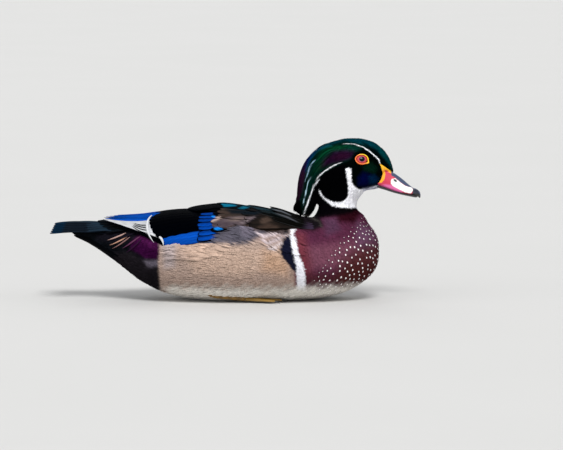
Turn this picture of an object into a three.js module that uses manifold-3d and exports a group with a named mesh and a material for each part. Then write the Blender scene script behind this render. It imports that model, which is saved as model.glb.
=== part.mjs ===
// A drake wood duck, life size and still, floating pose with its feet tucked under the belly.
// Millimetres. +X runs towards the bill, +Y to the bird's left, +Z up.
// The origin lies on the floor, in the middle of the flat that the belly rests on.

import * as THREE from "three";
import { mergeVertices } from "three/addons/utils/BufferGeometryUtils.js";
import Module from "manifold-3d";

const wasm = await Module();
wasm.setup();
const { union } = wasm.Manifold;

// Driving dimensions.
const GAP = 0.3; // kept between neighbouring pieces
const LEAST = 0.2; // half width that a shrunken section keeps
const VANE_THICK = 0.5; // of a feather's vane
const SIDES = { right: -1, left: 1 };
// How finely the rounded bodies are faceted: points round a section, and millimetres between sections.
const TORSO_MESH = { round: 28, step: 24 };
const HEAD_MESH = { round: 24, step: 8 };
const NAPE_MESH = { round: 12, step: 14 };
const BILL_MESH = { round: 16, step: 9 };
const NECK_ROUND = 24; // points round the neck
const CREST_ROUND = 12; // points round the crest's core
const GIRTH_STEPS = 48; // steps from spine to keel in which a girth is measured
const NUDGE = 0.01; // step that finds the slope of a surface
// How square the sections are: 2 is an ellipse.
const FULLNESS = { torso: 2.25, head: 2.1, upperBill: 1.9, lowerBill: 2.1 };

// Ribs of the torso from the tail root to the breast. top and keel are heights on the midline,
// beam is the half width and waist the height where the section is widest.
const TORSO_RIBS = [
  { x: -187, top: 73, keel: 70, beam: 9, waist: 71.5 },
  { x: -183, top: 75, keel: 67.5, beam: 15, waist: 71 },
  { x: -170, top: 77.5, keel: 61, beam: 19, waist: 69.5 },
  { x: -155, top: 79, keel: 51, beam: 23.5, waist: 66 },
  { x: -137, top: 80.5, keel: 37, beam: 31, waist: 60 },
  { x: -115, top: 83.6, keel: 20, beam: 41.5, waist: 54 },
  { x: -90, top: 89.6, keel: 7.5, beam: 52, waist: 49 },
  { x: -75, top: 91.9, keel: 3.6, beam: 56.8, waist: 47.6 },
  { x: -60, top: 93.2, keel: 1, beam: 60.5, waist: 46.5 },
  { x: -45, top: 94.4, keel: -0.4, beam: 63, waist: 46.2 },
  { x: -30, top: 96.2, keel: -1.4, beam: 64.5, waist: 46 },
  { x: 0, top: 94.6, keel: -1.8, beam: 65.5, waist: 46 },
  { x: 30, top: 90.8, keel: -1.6, beam: 64.5, waist: 46.5 },
  { x: 60, top: 86, keel: -0.4, beam: 61, waist: 47.5 },
  { x: 85, top: 87.5, keel: 3, beam: 54.5, waist: 49 },
  { x: 105, top: 88, keel: 9.5, beam: 46, waist: 50.5 },
  { x: 120, top: 83.5, keel: 18.5, beam: 36, waist: 51.5 },
  { x: 130, top: 73.5, keel: 28, beam: 25, waist: 51.5 },
  { x: 135, top: 64, keel: 38, beam: 14, waist: 51 },
  { x: 136.5, top: 55, keel: 47, beam: 5, waist: 51 },
];
// Ribs of the neck from its root in the breast up into the head. reach is half its length fore and aft.
const NECK_RIBS = [
  { x: 86, z: 58, reach: 40, beam: 36 },
  { x: 92, z: 72, reach: 36, beam: 34 },
  { x: 93.5, z: 84, reach: 30, beam: 27 },
  { x: 92, z: 92, reach: 24, beam: 22 },
  { x: 91, z: 98, reach: 21.2, beam: 19.6 },
  { x: 93, z: 106, reach: 21.5, beam: 19.5 },
  { x: 97, z: 116, reach: 24, beam: 20 },
  { x: 100, z: 128, reach: 22, beam: 15 },
];
// Ribs of the head from the nape to the point of the forehead feathers on the bill.
const HEAD_RIBS = [
  { x: 64, top: 146, keel: 124, beam: 4, waist: 136 },
  { x: 67, top: 151.5, keel: 116, beam: 7.5, waist: 135 },
  { x: 78, top: 161.8, keel: 104, beam: 14.5, waist: 132 },
  { x: 90, top: 167, keel: 99, beam: 20, waist: 130 },
  { x: 103, top: 169.5, keel: 98, beam: 22, waist: 129.5 },
  { x: 114, top: 169.5, keel: 102.5, beam: 21.2, waist: 131 },
  { x: 121, top: 168.2, keel: 112.8, beam: 19.5, waist: 133 },
  { x: 130, top: 165.2, keel: 115.4, beam: 16, waist: 135 },
  { x: 137, top: 160.6, keel: 117.4, beam: 12.3, waist: 136 },
  { x: 140.5, top: 157.2, keel: 133, beam: 10, waist: 144 },
  { x: 146, top: 149, keel: 133.5, beam: 6.5, waist: 141 },
  { x: 150, top: 138.5, keel: 131.5, beam: 3, waist: 134.5 },
  { x: 151.3, top: 134, keel: 131.8, beam: 1.2, waist: 133 },
];
// Ribs down the middle of the hanging crest. deep is half its thickness in profile.
const CREST_RIBS = [
  { x: 100, z: 157, deep: 10, beam: 14 },
  { x: 86, z: 154.5, deep: 11, beam: 16.5 },
  { x: 76.4, z: 146.4, deep: 12, beam: 16.5 },
  { x: 67.6, z: 136.6, deep: 12, beam: 14.5 },
  { x: 62.3, z: 124, deep: 11, beam: 12 },
  { x: 60, z: 111.5, deep: 10, beam: 9.8 },
  { x: 58.2, z: 100.5, deep: 8.8, beam: 7.5 },
  { x: 54, z: 93, deep: 8, beam: 5 },
  { x: 51, z: 88.6, deep: 5.5, beam: 2.6 },
];
// Ribs of the two halves of the bill, from inside the face to the nail.
const UPPER_BILL_RIBS = [
  { x: 133, top: 145, keel: 119.8, beam: 10.2, waist: 123 },
  { x: 140, top: 139.6, keel: 117.4, beam: 9.8, waist: 121 },
  { x: 146, top: 135.4, keel: 115.1, beam: 9.2, waist: 118.5 },
  { x: 151, top: 131.8, keel: 113.4, beam: 8.8, waist: 116.5 },
  { x: 160, top: 125, keel: 111.6, beam: 8.6, waist: 113.6 },
  { x: 166, top: 120, keel: 110.8, beam: 8.5, waist: 112.6 },
  { x: 171, top: 117.4, keel: 110, beam: 7.9, waist: 112 },
  { x: 175.5, top: 115.2, keel: 108, beam: 6.2, waist: 110.6 },
  { x: 178.4, top: 112.4, keel: 106.2, beam: 3.2, waist: 109 },
  { x: 179, top: 110, keel: 107, beam: 1.4, waist: 108.4 },
];
const LOWER_BILL_RIBS = [
  { x: 133, top: 122, keel: 115.6, beam: 8.8, waist: 119 },
  { x: 142, top: 119, keel: 113.2, beam: 8.2, waist: 116 },
  { x: 151, top: 116, keel: 110.8, beam: 7.8, waist: 113.6 },
  { x: 162, top: 113.6, keel: 108.8, beam: 7.4, waist: 111.2 },
  { x: 170, top: 112.4, keel: 107.6, beam: 6.6, waist: 110 },
  { x: 174.6, top: 111, keel: 107, beam: 4.4, waist: 109 },
  { x: 176, top: 110, keel: 107.8, beam: 2, waist: 108.8 },
];

// Cuts that part the flesh: each plane runs through a low and a high point of the profile.
const NAPE_CUT = { low: [70, 100], high: [88, 168] };
const HEAD_CUT = { low: [70, 104], high: [114, 98.5] };
const NECK_CUT = { low: [64, 84], high: [118, 90.5] };
const TAIL_CUT = { low: [-131, 30], high: [-116, 84] };

// Shares of a feather's length where its points across are set, with the width and thickness there.
const LONG_FEATHER = [
  { along: 0, wide: 0.55, thick: 1 },
  { along: 0.3, wide: 0.9, thick: 1 },
  { along: 0.62, wide: 1, thick: 1 },
  { along: 0.88, wide: 0.8, thick: 0.9 },
  { along: 1, wide: 0.25, thick: 0.6 },
];
const SHORT_FEATHER = [
  { along: 0, wide: 0.6, thick: 1 },
  { along: 0.45, wide: 1, thick: 1 },
  { along: 0.84, wide: 0.85, thick: 0.9 },
  { along: 1, wide: 0.3, thick: 0.6 },
];

const TAIL_FEATHER = [
  { along: 0, wide: 0.6, thick: 1 },
  { along: 0.45, wide: 0.9, thick: 1 },
  { along: 0.9, wide: 1, thick: 0.9 },
  { along: 1, wide: 0.5, thick: 0.6 },
];

// The core of the folded wing lies flush in the torso, between two curves of [x, girth]. Girth is the
// distance from the spine round the flank.
const WING_CORE = { from: -97, to: 62, inner: -2.6, outer: 0.3, pocket: 3 };
const WING_UPPER = [[-97, 4], [-60, 1.6], [20, 2], [50, 11], [62, 22]];
const WING_LOWER = [[-97, 52], [-60, 66], [-20, 67], [10, 61], [40, 52], [62, 36]];
// The wing's tiers of feathers, from the rear up: places are [x, girth], and each pair of values runs
// from the tier's lowest feather to the one nearest the spine. sunk is the roots' depth in the core, and
// lift the tips' height over the skin.
const WING_TIERS = {
  primaries: {
    count: 5,
    root: [[-76, 59], [-72, 22]],
    tip: [[-153, 11], [-126, 6.5]],
    half: [4, 3.6],
    sunk: 0.8,
    lift: [6.7, 7.1],
    bow: [-5, 1],
    shape: LONG_FEATHER,
  },
  secondaries: {
    count: 4,
    root: [[-46, 61.5], [-46, 46]],
    tip: [[-80, 63], [-92, 47]],
    half: [4.4, 4.6],
    sunk: 0.8,
    lift: [2.8, 3.2],
    bow: [1, 1],
    shape: SHORT_FEATHER,
  },
  tertials: {
    count: 4,
    root: [[-34, 45], [-26, 14]],
    tip: [[-97, 46], [-102, 11]],
    half: [7.5, 6.5],
    sunk: 0.8,
    lift: [3.8, 4],
    bow: [2, 1],
    shape: SHORT_FEATHER,
  },
  greaterCoverts: {
    count: 4,
    root: [[-8, 58.5], [-8, 25]],
    tip: [[-55, 62], [-58, 25]],
    half: [7.2, 6.8],
    sunk: 0.8,
    lift: [3.1, 3.3],
    bow: [1, 1],
    shape: SHORT_FEATHER,
  },
  medianCoverts: {
    count: 4,
    root: [[16, 54], [16, 25]],
    tip: [[-33, 58], [-36, 25]],
    half: [7, 6.6],
    sunk: 0.8,
    lift: [3.2, 3.4],
    bow: [1, 1],
    shape: SHORT_FEATHER,
  },
  lesserCoverts: {
    count: 4,
    root: [[40, 45], [38, 26]],
    tip: [[-8, 56], [-12, 26]],
    half: [6.2, 5.8],
    sunk: 0.8,
    lift: [3.2, 3.4],
    bow: [1, 1],
    shape: SHORT_FEATHER,
  },
  foremostCoverts: {
    count: 3,
    root: [[57, 33], [50, 23]],
    tip: [[16, 49], [12, 27]],
    half: [6.4, 6],
    sunk: 0.8,
    lift: [3.1, 3.3],
    bow: [2, 1],
    shape: SHORT_FEATHER,
  },
  rearScapulars: {
    count: 3,
    root: [[-8, 20], [-12, 9]],
    tip: [[-56, 20], [-66, 7.5]],
    half: [4.6, 4.6],
    sunk: 0.6,
    lift: [3.7, 5],
    bow: [0.5, 0],
    shape: SHORT_FEATHER,
  },
  middleScapulars: {
    count: 3,
    root: [[28, 21], [24, 9]],
    tip: [[-18, 21], [-27, 7.5]],
    half: [4.6, 4.6],
    sunk: 0.6,
    lift: [3.9, 5.2],
    bow: [0.5, 0],
    shape: SHORT_FEATHER,
  },
  foreScapulars: {
    count: 3,
    root: [[53, 25], [46, 14]],
    tip: [[13, 22], [5, 8.5]],
    half: [4.8, 4.6],
    sunk: 0.6,
    lift: [3.9, 5.2],
    bow: [0.5, 0],
    shape: SHORT_FEATHER,
  },
};
// The flank feathers rise over the wing's lower edge in a pad.
const FLANK_UPPER = [[-97, 62], [-60, 69], [-30, 70], [0, 65], [30, 57], [52, 47], [74, 52], [84, 66]];
const FLANK_LOWER = [[-97, 84], [-60, 108], [0, 112], [50, 106], [84, 88]];
const FLANK_PAD = { from: -96, to: 82, rise: 2.6, sunk: 0.4, fade: 28 };

// The tail's feathers on one side, from the middle outwards: first gives the root and tip of the one
// nearest the middle, and step how far the next one's lie from it. tilt drops a feather's outer edge.
const TAIL_ROWS = [
  {
    count: 6,
    root: [-146, 4.1, 77.8],
    tip: [-208.5, 5.1, 79.6],
    rootStep: [0.6, 3.1, -1.5],
    tipStep: [0.8, 3.9, -1.6],
    half: 4.6,
    arch: 2.6,
    tilt: 0.16,
    shape: TAIL_FEATHER,
  },
  {
    count: 3,
    root: [-134, 4.1, 78.4],
    tip: [-178, 4.3, 82.6],
    rootStep: [0, 5.6, -1.1],
    tipStep: [4, 6.4, -3.1],
    half: 3.9,
    arch: 1,
    tilt: 0.3,
    shape: SHORT_FEATHER,
  },
];
// The tail's coverts and the loose plumes beside the rump, laid on the skin: each place is an x and a
// share of the girth from spine to keel.
const UNDER_TAIL = [
  { root: [-143, 0.74], tip: [-182, 0.66], half: 4.4, lift: [-0.8, 1] },
  { root: [-139, 0.87], tip: [-185, 0.8], half: 4, lift: [-0.8, 1.5] },
];
const RUMP_PLUMES = [
  { root: [-127, 0.36], tip: [-152, 0.5], half: 1.7, lift: [-0.8, 1.9] },
  { root: [-125, 0.43], tip: [-149, 0.62], half: 1.7, lift: [-0.8, 1.9] },
  { root: [-123, 0.5], tip: [-142, 0.67], half: 1.7, lift: [-0.8, 1.8] },
];
// The hanging crest's locks lie side by side round it, the ones in the middle of the back longest.
const CREST_LOCKS = {
  outer: { perSide: 4, step: 0.54, half: 0.37, root: 1, tip: 8, shorter: 0.04, height: 0, slant: 0.75 },
  inner: { perSide: 1, step: 1.6, half: 0.7, root: 3.4, tip: 7.7, shorter: 0.1, height: -3.2, slant: 0 },
  middle: 0.4,
  thick: 0.8,
  tipThick: 0.6,
  sunk: 2.4,
};
const CREST_CORE = { shrink: 2, end: { x: 60.6, z: 117, deep: 5.5, beam: 4.5 }, ribs: 5 };

const EYE = { x: 116.7, z: 149.9, radius: 6.2, sunk: 4.6, ring: 5.7, ringThick: 1.3 };
const NOSTRIL = { x: 152.6, z: 125, long: 2.2, high: 1, pitch: 0.62 };

const X_AXIS = new THREE.Vector3(1, 0, 0);
const Y_AXIS = new THREE.Vector3(0, 1, 0);
const Z_AXIS = new THREE.Vector3(0, 0, 1);

// A curve through knots of [x, value] that doesn't overshoot between them.
function curveThrough(knots) {
  const last = knots.length - 1;
  const slope = (i) => (knots[i + 1][1] - knots[i][1]) / (knots[i + 1][0] - knots[i][0]);
  const tangent = knots.map((_, i) => {
    if (i === 0) return slope(0);
    if (i === last) return slope(last - 1);
    const before = slope(i - 1);
    const after = slope(i);
    return before * after <= 0 ? 0 : (2 * before * after) / (before + after);
  });
  return (x) => {
    let i = 0;
    while (i < last - 1 && x > knots[i + 1][0]) i += 1;
    const span = knots[i + 1][0] - knots[i][0];
    const t = (x - knots[i][0]) / span;
    const s = 1 - t;
    return (
      s * s * (1 + 2 * t) * knots[i][1] +
      t * t * (3 - 2 * t) * knots[i + 1][1] +
      s * s * t * span * tangent[i] -
      s * t * t * span * tangent[i + 1]
    );
  };
}

// The ribs' sizes as smooth curves along one of their keys.
function curvesOf(ribs, along, keys) {
  return Object.fromEntries(
    keys.map((key) => [key, curveThrough(ribs.map((rib) => [rib[along], rib[key]]))]),
  );
}

function signedPower(value, power) {
  return Math.sign(value) * Math.abs(value) ** power;
}

// A closed manifold solid from a geometry, turned the right way out.
function solidOf(geometry) {
  geometry.deleteAttribute("normal");
  geometry.deleteAttribute("uv");
  const merged = mergeVertices(geometry, 1e-4);
  const triVerts = new Uint32Array(merged.index.array);
  const vertProperties = merged.attributes.position.array;
  const made = new wasm.Manifold(new wasm.Mesh({ numProp: 3, vertProperties, triVerts }));
  if (made.volume() > 0) return made;
  triVerts.reverse();
  return new wasm.Manifold(new wasm.Mesh({ numProp: 3, vertProperties, triVerts }));
}

// A closed solid skinned over rings of points, with a flat fan at each end.
function skinned(rings) {
  const count = rings[0].length;
  const points = rings.flat();
  const faces = [];
  for (let r = 0; r + 1 < rings.length; r += 1)
    for (let i = 0; i < count; i += 1) {
      const a = r * count + i;
      const b = r * count + ((i + 1) % count);
      faces.push(a, b, b + count, a, b + count, a + count);
    }
  const capOf = (start, turned) => {
    for (let i = 1; i + 1 < count; i += 1)
      faces.push(start, ...(turned ? [start + i + 1, start + i] : [start + i, start + i + 1]));
  };
  capOf(0, true);
  capOf((rings.length - 1) * count, false);
  const geometry = new THREE.BufferGeometry().setFromPoints(points);
  geometry.setIndex(faces);
  return solidOf(geometry);
}

// The places along the ribs where rings are set: each rib, and evenly between ribs further apart.
function stationsOf(ribs, step) {
  const places = [];
  for (let i = 0; i + 1 < ribs.length; i += 1) {
    const span = ribs[i + 1].x - ribs[i].x;
    const count = Math.ceil(span / step);
    for (let j = 0; j < count; j += 1) places.push(ribs[i].x + (span * j) / count);
  }
  return [...places, ribs.at(-1).x];
}

// A body whose upright sections along X are rounded, with the widest place at the waist.
function ribbedBody(ribs, fullness) {
  const size = curvesOf(ribs, "x", ["top", "keel", "beam", "waist"]);
  // angle runs from 0 on the spine to PI on the keel, and is negative on the right side
  const point = (x, angle, grow = 0) => {
    const across = signedPower(Math.sin(angle), 2 / fullness);
    const up = signedPower(Math.cos(angle), 2 / fullness);
    const waist = size.waist(x);
    const reach = (up > 0 ? size.top(x) - waist : waist - size.keel(x)) + grow;
    const beam = Math.max(size.beam(x) + grow, LEAST);
    return new THREE.Vector3(x, across * beam, waist + up * Math.max(reach, LEAST));
  };
  const solid = ({ round, step, grow = 0 }) => {
    const first = ribs[0].x;
    const last = ribs.at(-1).x;
    const rings = stationsOf(ribs, step).map((x) =>
      Array.from({ length: round }, (_, i) => {
        const placed = point(x, (i / round) * 2 * Math.PI, grow);
        if (x === first) placed.x -= grow;
        if (x === last) placed.x += grow;
        return placed;
      }),
    );
    return skinned(rings);
  };
  return { size, point, solid };
}

// A tube of oval section along ribs with a place, a half width wide and a half depth deep.
function tube(ribs, round, grow = 0) {
  const place = (rib) => new THREE.Vector3(rib.x, rib.y ?? 0, rib.z);
  const rings = ribs.map((rib, i) => {
    const before = place(ribs[Math.max(i - 1, 0)]);
    const after = place(ribs[Math.min(i + 1, ribs.length - 1)]);
    const along = after.sub(before).normalize();
    const across = Y_AXIS.clone().addScaledVector(along, -along.y).normalize();
    const up = along.clone().cross(across);
    const end = i === 0 ? -grow : i === ribs.length - 1 ? grow : 0;
    return Array.from({ length: round }, (_, k) => {
      const angle = (k / round) * 2 * Math.PI;
      return place(rib)
        .addScaledVector(along, end)
        .addScaledVector(across, Math.sin(angle) * (rib.beam + grow))
        .addScaledVector(up, Math.cos(angle) * (rib.deep + grow));
    });
  });
  return skinned(rings);
}

// The part of a solid on one side of a cut, held back by half the gap.
function sideOf(solid, cut, way) {
  const dx = cut.high[0] - cut.low[0];
  const dz = cut.high[1] - cut.low[1];
  const length = Math.hypot(dx, dz);
  const normal = [(-dz / length) * way, 0, (dx / length) * way];
  const offset = normal[0] * cut.low[0] + normal[2] * cut.low[1];
  return solid.trimByPlane(normal, offset + GAP / 2);
}

// The largest closed surface of a solid, which drops loose scraps and sealed hollows.
function largest(solid) {
  const bodies = solid.decompose().filter((body) => body.volume() > 0);
  return bodies.reduce((a, b) => (a.volume() > b.volume() ? a : b));
}

const torsoBody = ribbedBody(TORSO_RIBS, FULLNESS.torso);
const headBody = ribbedBody(HEAD_RIBS, FULLNESS.head);
const upperBillBody = ribbedBody(UPPER_BILL_RIBS, FULLNESS.upperBill);
const lowerBillBody = ribbedBody(LOWER_BILL_RIBS, FULLNESS.lowerBill);
const flankUpper = curveThrough(FLANK_UPPER);
const flankLower = curveThrough(FLANK_LOWER);
const wingUpper = curveThrough(WING_UPPER);
const wingLower = curveThrough(WING_LOWER);

// The angle on the torso's section at x that lies a given girth from the spine.
function angleAtGirth(x, girth) {
  let walked = 0;
  let before = torsoBody.point(x, 0);
  for (let i = 1; i <= GIRTH_STEPS; i += 1) {
    const here = torsoBody.point(x, (i / GIRTH_STEPS) * Math.PI);
    const step = here.distanceTo(before);
    if (walked + step >= girth) return ((i - 1 + (girth - walked) / step) / GIRTH_STEPS) * Math.PI;
    walked += step;
    before = here;
  }
  return Math.PI;
}

// A point at a height above the torso's skin, placed by x and girth on one side.
function overTorso(side, x, girth, height) {
  const angle = angleAtGirth(x, Math.abs(girth)) * Math.sign(girth || 1);
  const here = torsoBody.point(x, angle);
  const along = torsoBody.point(x + NUDGE, angle).sub(torsoBody.point(x - NUDGE, angle));
  const round = torsoBody.point(x, angle + NUDGE).sub(torsoBody.point(x, angle - NUDGE));
  const normal = round.cross(along).normalize();
  if (normal.z * (here.z - torsoBody.size.waist(x)) + normal.y * here.y < 0) normal.negate();
  here.addScaledVector(normal, height);
  here.y *= side;
  return here;
}

// A closed slab from a grid of points: under and over give the two faces at row r, column c.
// Both faces are split into triangles along the same diagonals.
function slab(rows, columns, under, over) {
  const points = [];
  for (const face of [under, over])
    for (let r = 0; r < rows; r += 1)
      for (let c = 0; c < columns; c += 1) points.push(face(r, c));
  const low = (r, c) => r * columns + c;
  const high = (r, c) => (rows + r) * columns + c;
  const faces = [];
  for (let r = 0; r + 1 < rows; r += 1)
    for (let c = 0; c + 1 < columns; c += 1) {
      faces.push(high(r, c), high(r, c + 1), high(r + 1, c + 1));
      faces.push(high(r, c), high(r + 1, c + 1), high(r + 1, c));
      faces.push(low(r, c), low(r + 1, c + 1), low(r, c + 1));
      faces.push(low(r, c), low(r + 1, c), low(r + 1, c + 1));
    }
  const border = [];
  for (let c = 0; c + 1 < columns; c += 1) border.push([0, c]);
  for (let r = 0; r + 1 < rows; r += 1) border.push([r, columns - 1]);
  for (let c = columns - 1; c > 0; c -= 1) border.push([rows - 1, c]);
  for (let r = rows - 1; r > 0; r -= 1) border.push([r, 0]);
  border.forEach((here, i) => {
    const next = border[(i + 1) % border.length];
    faces.push(high(...here), low(...here), low(...next), high(...here), low(...next), high(...next));
  });
  const geometry = new THREE.BufferGeometry().setFromPoints(points);
  geometry.setIndex(faces);
  return solidOf(geometry);
}

// A slab that lies on the torso between two girth curves, from one x to another.
function layer({ side, from, to, upper, lower, inner, outer, rows, columns }) {
  const at = (height) => (r, c) => {
    const x = from + ((to - from) * r) / (rows - 1);
    const share = c / (columns - 1);
    const girth = upper(x) + (lower(x) - upper(x)) * share;
    return overTorso(side, x, girth, height(x, share));
  };
  return slab(rows, columns, at(inner), at(outer));
}

function flankPad(side, grow = 0) {
  const { from, to, rise, sunk, fade } = FLANK_PAD;
  const swell = (x) => Math.min(1, (x - from) / fade, (to - x) / fade);
  return layer({
    side,
    from,
    to,
    upper: (x) => flankUpper(x) - grow,
    lower: (x) => flankLower(x),
    inner: () => -3,
    outer: (x, share) => (rise + sunk) * (1 - share) ** 1.5 * swell(x) - sunk + grow,
    rows: 8,
    columns: 3,
  });
}

function wingCore(side, grow = 0, outer = WING_CORE.outer) {
  return layer({
    side,
    from: WING_CORE.from - grow,
    to: WING_CORE.to + grow,
    upper: (x) => wingUpper(x) - grow,
    lower: (x) => wingLower(x) + grow,
    inner: () => WING_CORE.inner - grow,
    outer: () => outer,
    rows: 7,
    columns: 5,
  });
}

// A feather laid over the torso's skin from root to tip, both [x, girth]. lift gives the height of its
// top at the root and at the tip, and slant how much higher its lower edge stands than its middle.
function laidFeather({ side, root, tip, half, lift, slant = 0, bow = 0, shape = SHORT_FEATHER }) {
  const run = [tip[0] - root[0], tip[1] - root[1]];
  const length = Math.hypot(...run);
  const across = [run[1] / length, -run[0] / length];
  const at = (under) => (r, c) => {
    const { along, wide, thick } = shape[r];
    const off = (c - 1) * half * wide;
    const x = root[0] + run[0] * along + across[0] * off;
    const girth = root[1] + run[1] * along + across[1] * off + bow * 4 * along * (1 - along);
    const height = lift[0] + (lift[1] - lift[0]) * along ** 0.8 + (c - 1) * wide * slant;
    return overTorso(side, x, girth, height - under * VANE_THICK * thick);
  };
  return slab(shape.length, 3, at(1), at(0));
}

// One tier of overlapping feathers. Each lies VANE_THICK and a gap above the one below it.
function featherTier(side, { count, root, tip, half, sunk, lift, bow, shape }) {
  const spacing = Math.hypot(root[1][0] - root[0][0], root[1][1] - root[0][1]) / (count - 1);
  return Array.from({ length: count }, (_, k) => {
    const share = k / (count - 1);
    const mix = (pair) => pair[0] + (pair[1] - pair[0]) * share;
    const place = (pair) => [0, 1].map((i) => mix([pair[0][i], pair[1][i]]));
    const width = mix(half);
    const slant = ((VANE_THICK + GAP) * width) / spacing;
    return laidFeather({
      side,
      root: place(root),
      tip: place(tip),
      half: width,
      lift: [-sunk, mix(lift)],
      slant,
      bow: mix(bow),
      shape,
    });
  });
}

function wingForm(side) {
  const feathers = Object.values(WING_TIERS).flatMap((tier) => featherTier(side, tier));
  return union([wingCore(side), ...feathers]);
}

// The girth at x of the place that lies a share of the way from the spine to the keel.
function girthAt([x, share]) {
  let girth = 0;
  let before = torsoBody.point(x, 0);
  for (let i = 1; i < GIRTH_STEPS * share + 1; i += 1) {
    const here = torsoBody.point(x, (i / GIRTH_STEPS) * Math.PI);
    girth += here.distanceTo(before);
    before = here;
  }
  return girth;
}

function sharedFeather(side, { root, tip, half, lift }) {
  return laidFeather({ side, root: [root[0], girthAt(root)], tip: [tip[0], girthAt(tip)], half, lift });
}

// One side of a row of tail feathers, each a plate that tilts less than the roof they make together.
function tailRow(side, { count, root, tip, rootStep, tipStep, half, arch, tilt, shape }) {
  return Array.from({ length: count }, (_, k) => {
    const place = (first, step) => new THREE.Vector3(...first.map((value, i) => value + step[i] * k));
    const from = place(root, rootStep);
    const to = place(tip, tipStep);
    const at = (under) => (r, c) => {
      const { along, wide, thick } = shape[r];
      const off = (c - 1) * half * wide;
      const spot = from.clone().lerp(to, along);
      spot.y = (spot.y + off * Math.cos(tilt)) * side;
      spot.z += arch * 4 * along * (1 - along) - off * Math.sin(tilt) - under * VANE_THICK * thick;
      return spot;
    };
    return slab(shape.length, 3, at(1), at(0));
  });
}

// Feet. The leg rises from the foot's joint to the heel and up into the flank.
const FOOT = { joint: [-4, 37], web: 1.1, room: 4, heel: 2, bed: 7 };
const TOES = [
  { reach: 44, spread: -0.02 },
  { reach: 38, spread: 0.36 },
  { reach: 31, spread: -0.34 },
];

function legForm(side, grow = 0) {
  const y = FOOT.joint[1] * side;
  return tube(
    [
      { x: -6, y, z: 4.4, beam: 2.6, deep: 2.2 },
      { x: -22, y: y * 1.01, z: 5.6, beam: 2.3, deep: 2.3 },
      { x: -37, y: y * 1.02, z: 8, beam: 3.1, deep: 3.1 },
      { x: -42, y: y * 1.02, z: 11, beam: 3.4, deep: 3.2 },
      { x: -38, y: y * 1.02, z: 16.5, beam: 3.4, deep: 3.6 },
      { x: -30, y: y * 1.02, z: 24, beam: 3.4, deep: 4.6 },
    ],
    10,
    grow,
  );
}

function toeTip(side, toe) {
  const [x, y] = FOOT.joint;
  return [x + toe.reach * Math.cos(toe.spread), side * (y + toe.reach * Math.sin(toe.spread))];
}

function footForm(side, grow = 0) {
  const [x, y] = FOOT.joint;
  const pieces = TOES.map((toe) => {
    const [tipX, tipY] = toeTip(side, toe);
    const ribs = [0, 0.4, 0.8, 0.86, 1].map((share, i) => ({
      x: x + (tipX - x) * share,
      y: y * side + (tipY - y * side) * share,
      z: [3.4, 2.5, 2, 2, 0.9][i],
      beam: [2.6, 2.2, 1.8, 1.1, 0.5][i],
      deep: [3, 2.2, 1.7, 1.3, 0.5][i],
    }));
    return tube(ribs, 6, grow);
  });
  const fan = [TOES[2], TOES[0], TOES[1]].map((toe) => toeTip(side, toe));
  const shape = new THREE.Shape();
  const inside = (tip, share) => [x + (tip[0] - x) * share, y * side + (tip[1] - y * side) * share];
  shape.moveTo(x - 1, y * side);
  shape.lineTo(...inside(fan[0], 0.84));
  shape.quadraticCurveTo(...inside(fan[0], 0.66), ...inside(fan[1], 0.84));
  shape.quadraticCurveTo(...inside(fan[2], 0.68), ...inside(fan[2], 0.84));
  shape.closePath();
  const depth = FOOT.web + 2 * grow;
  const web = new THREE.ExtrudeGeometry(shape, { depth, bevelEnabled: false, curveSegments: 4 });
  web.translate(0, 0, 0.9 - grow);
  pieces.push(solidOf(web));
  return largest(wasm.Manifold.union(pieces)).trimByPlane([0, 0, 1], 0);
}

// The hollow in the belly that takes the foot.
function footBed(side) {
  const [x, y] = FOOT.joint;
  const [inner, middle, outer] = [TOES[2], TOES[0], TOES[1]].map((toe) => toeTip(side, toe));
  const shape = new THREE.Shape();
  const { room, heel } = FOOT;
  shape.moveTo(x - heel, (y - room) * side);
  shape.lineTo(inner[0] + room, inner[1] - room * side);
  shape.lineTo(middle[0] + room, middle[1]);
  shape.lineTo(outer[0] + room, outer[1] + room * side);
  shape.lineTo(x - heel, (y + room) * side);
  shape.closePath();
  return solidOf(new THREE.ExtrudeGeometry(shape, { depth: FOOT.bed, bevelEnabled: false }));
}

function eyePlace(side) {
  const angleSteps = 60;
  let best = 0;
  for (let i = 0; i <= angleSteps; i += 1) {
    const angle = (i / angleSteps) * (Math.PI / 2);
    if (headBody.point(EYE.x, angle).z > EYE.z) best = angle;
  }
  const here = headBody.point(EYE.x, best);
  const along = headBody.point(EYE.x + NUDGE, best).sub(headBody.point(EYE.x - NUDGE, best));
  const round = headBody.point(EYE.x, best + NUDGE).sub(headBody.point(EYE.x, best - NUDGE));
  const normal = round.cross(along).normalize();
  if (normal.y < 0) normal.negate();
  here.y *= side;
  normal.y *= side;
  return { here, normal };
}

function ball(centre, radius) {
  const geometry = new THREE.SphereGeometry(radius, 14, 9);
  geometry.translate(centre.x, centre.y, centre.z);
  return solidOf(geometry);
}

function eyeCentre(side) {
  const { here, normal } = eyePlace(side);
  return here.addScaledVector(normal, -EYE.sunk);
}

// The rim of bare lids round the eye.
function lids(side) {
  const { here, normal } = eyePlace(side);
  const geometry = new THREE.TorusGeometry(EYE.ring, EYE.ringThick, 5, 14);
  geometry.scale(1.14, 0.92, 1);
  const turn = new THREE.Matrix4().makeBasis(
    X_AXIS.clone().addScaledVector(normal, -normal.x).normalize(),
    normal.clone().cross(X_AXIS.clone().addScaledVector(normal, -normal.x).normalize()),
    normal,
  );
  geometry.applyMatrix4(turn);
  geometry.translate(here.x - normal.x * 0.5, here.y - normal.y * 0.5, here.z - normal.z * 0.5);
  return solidOf(geometry);
}

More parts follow.
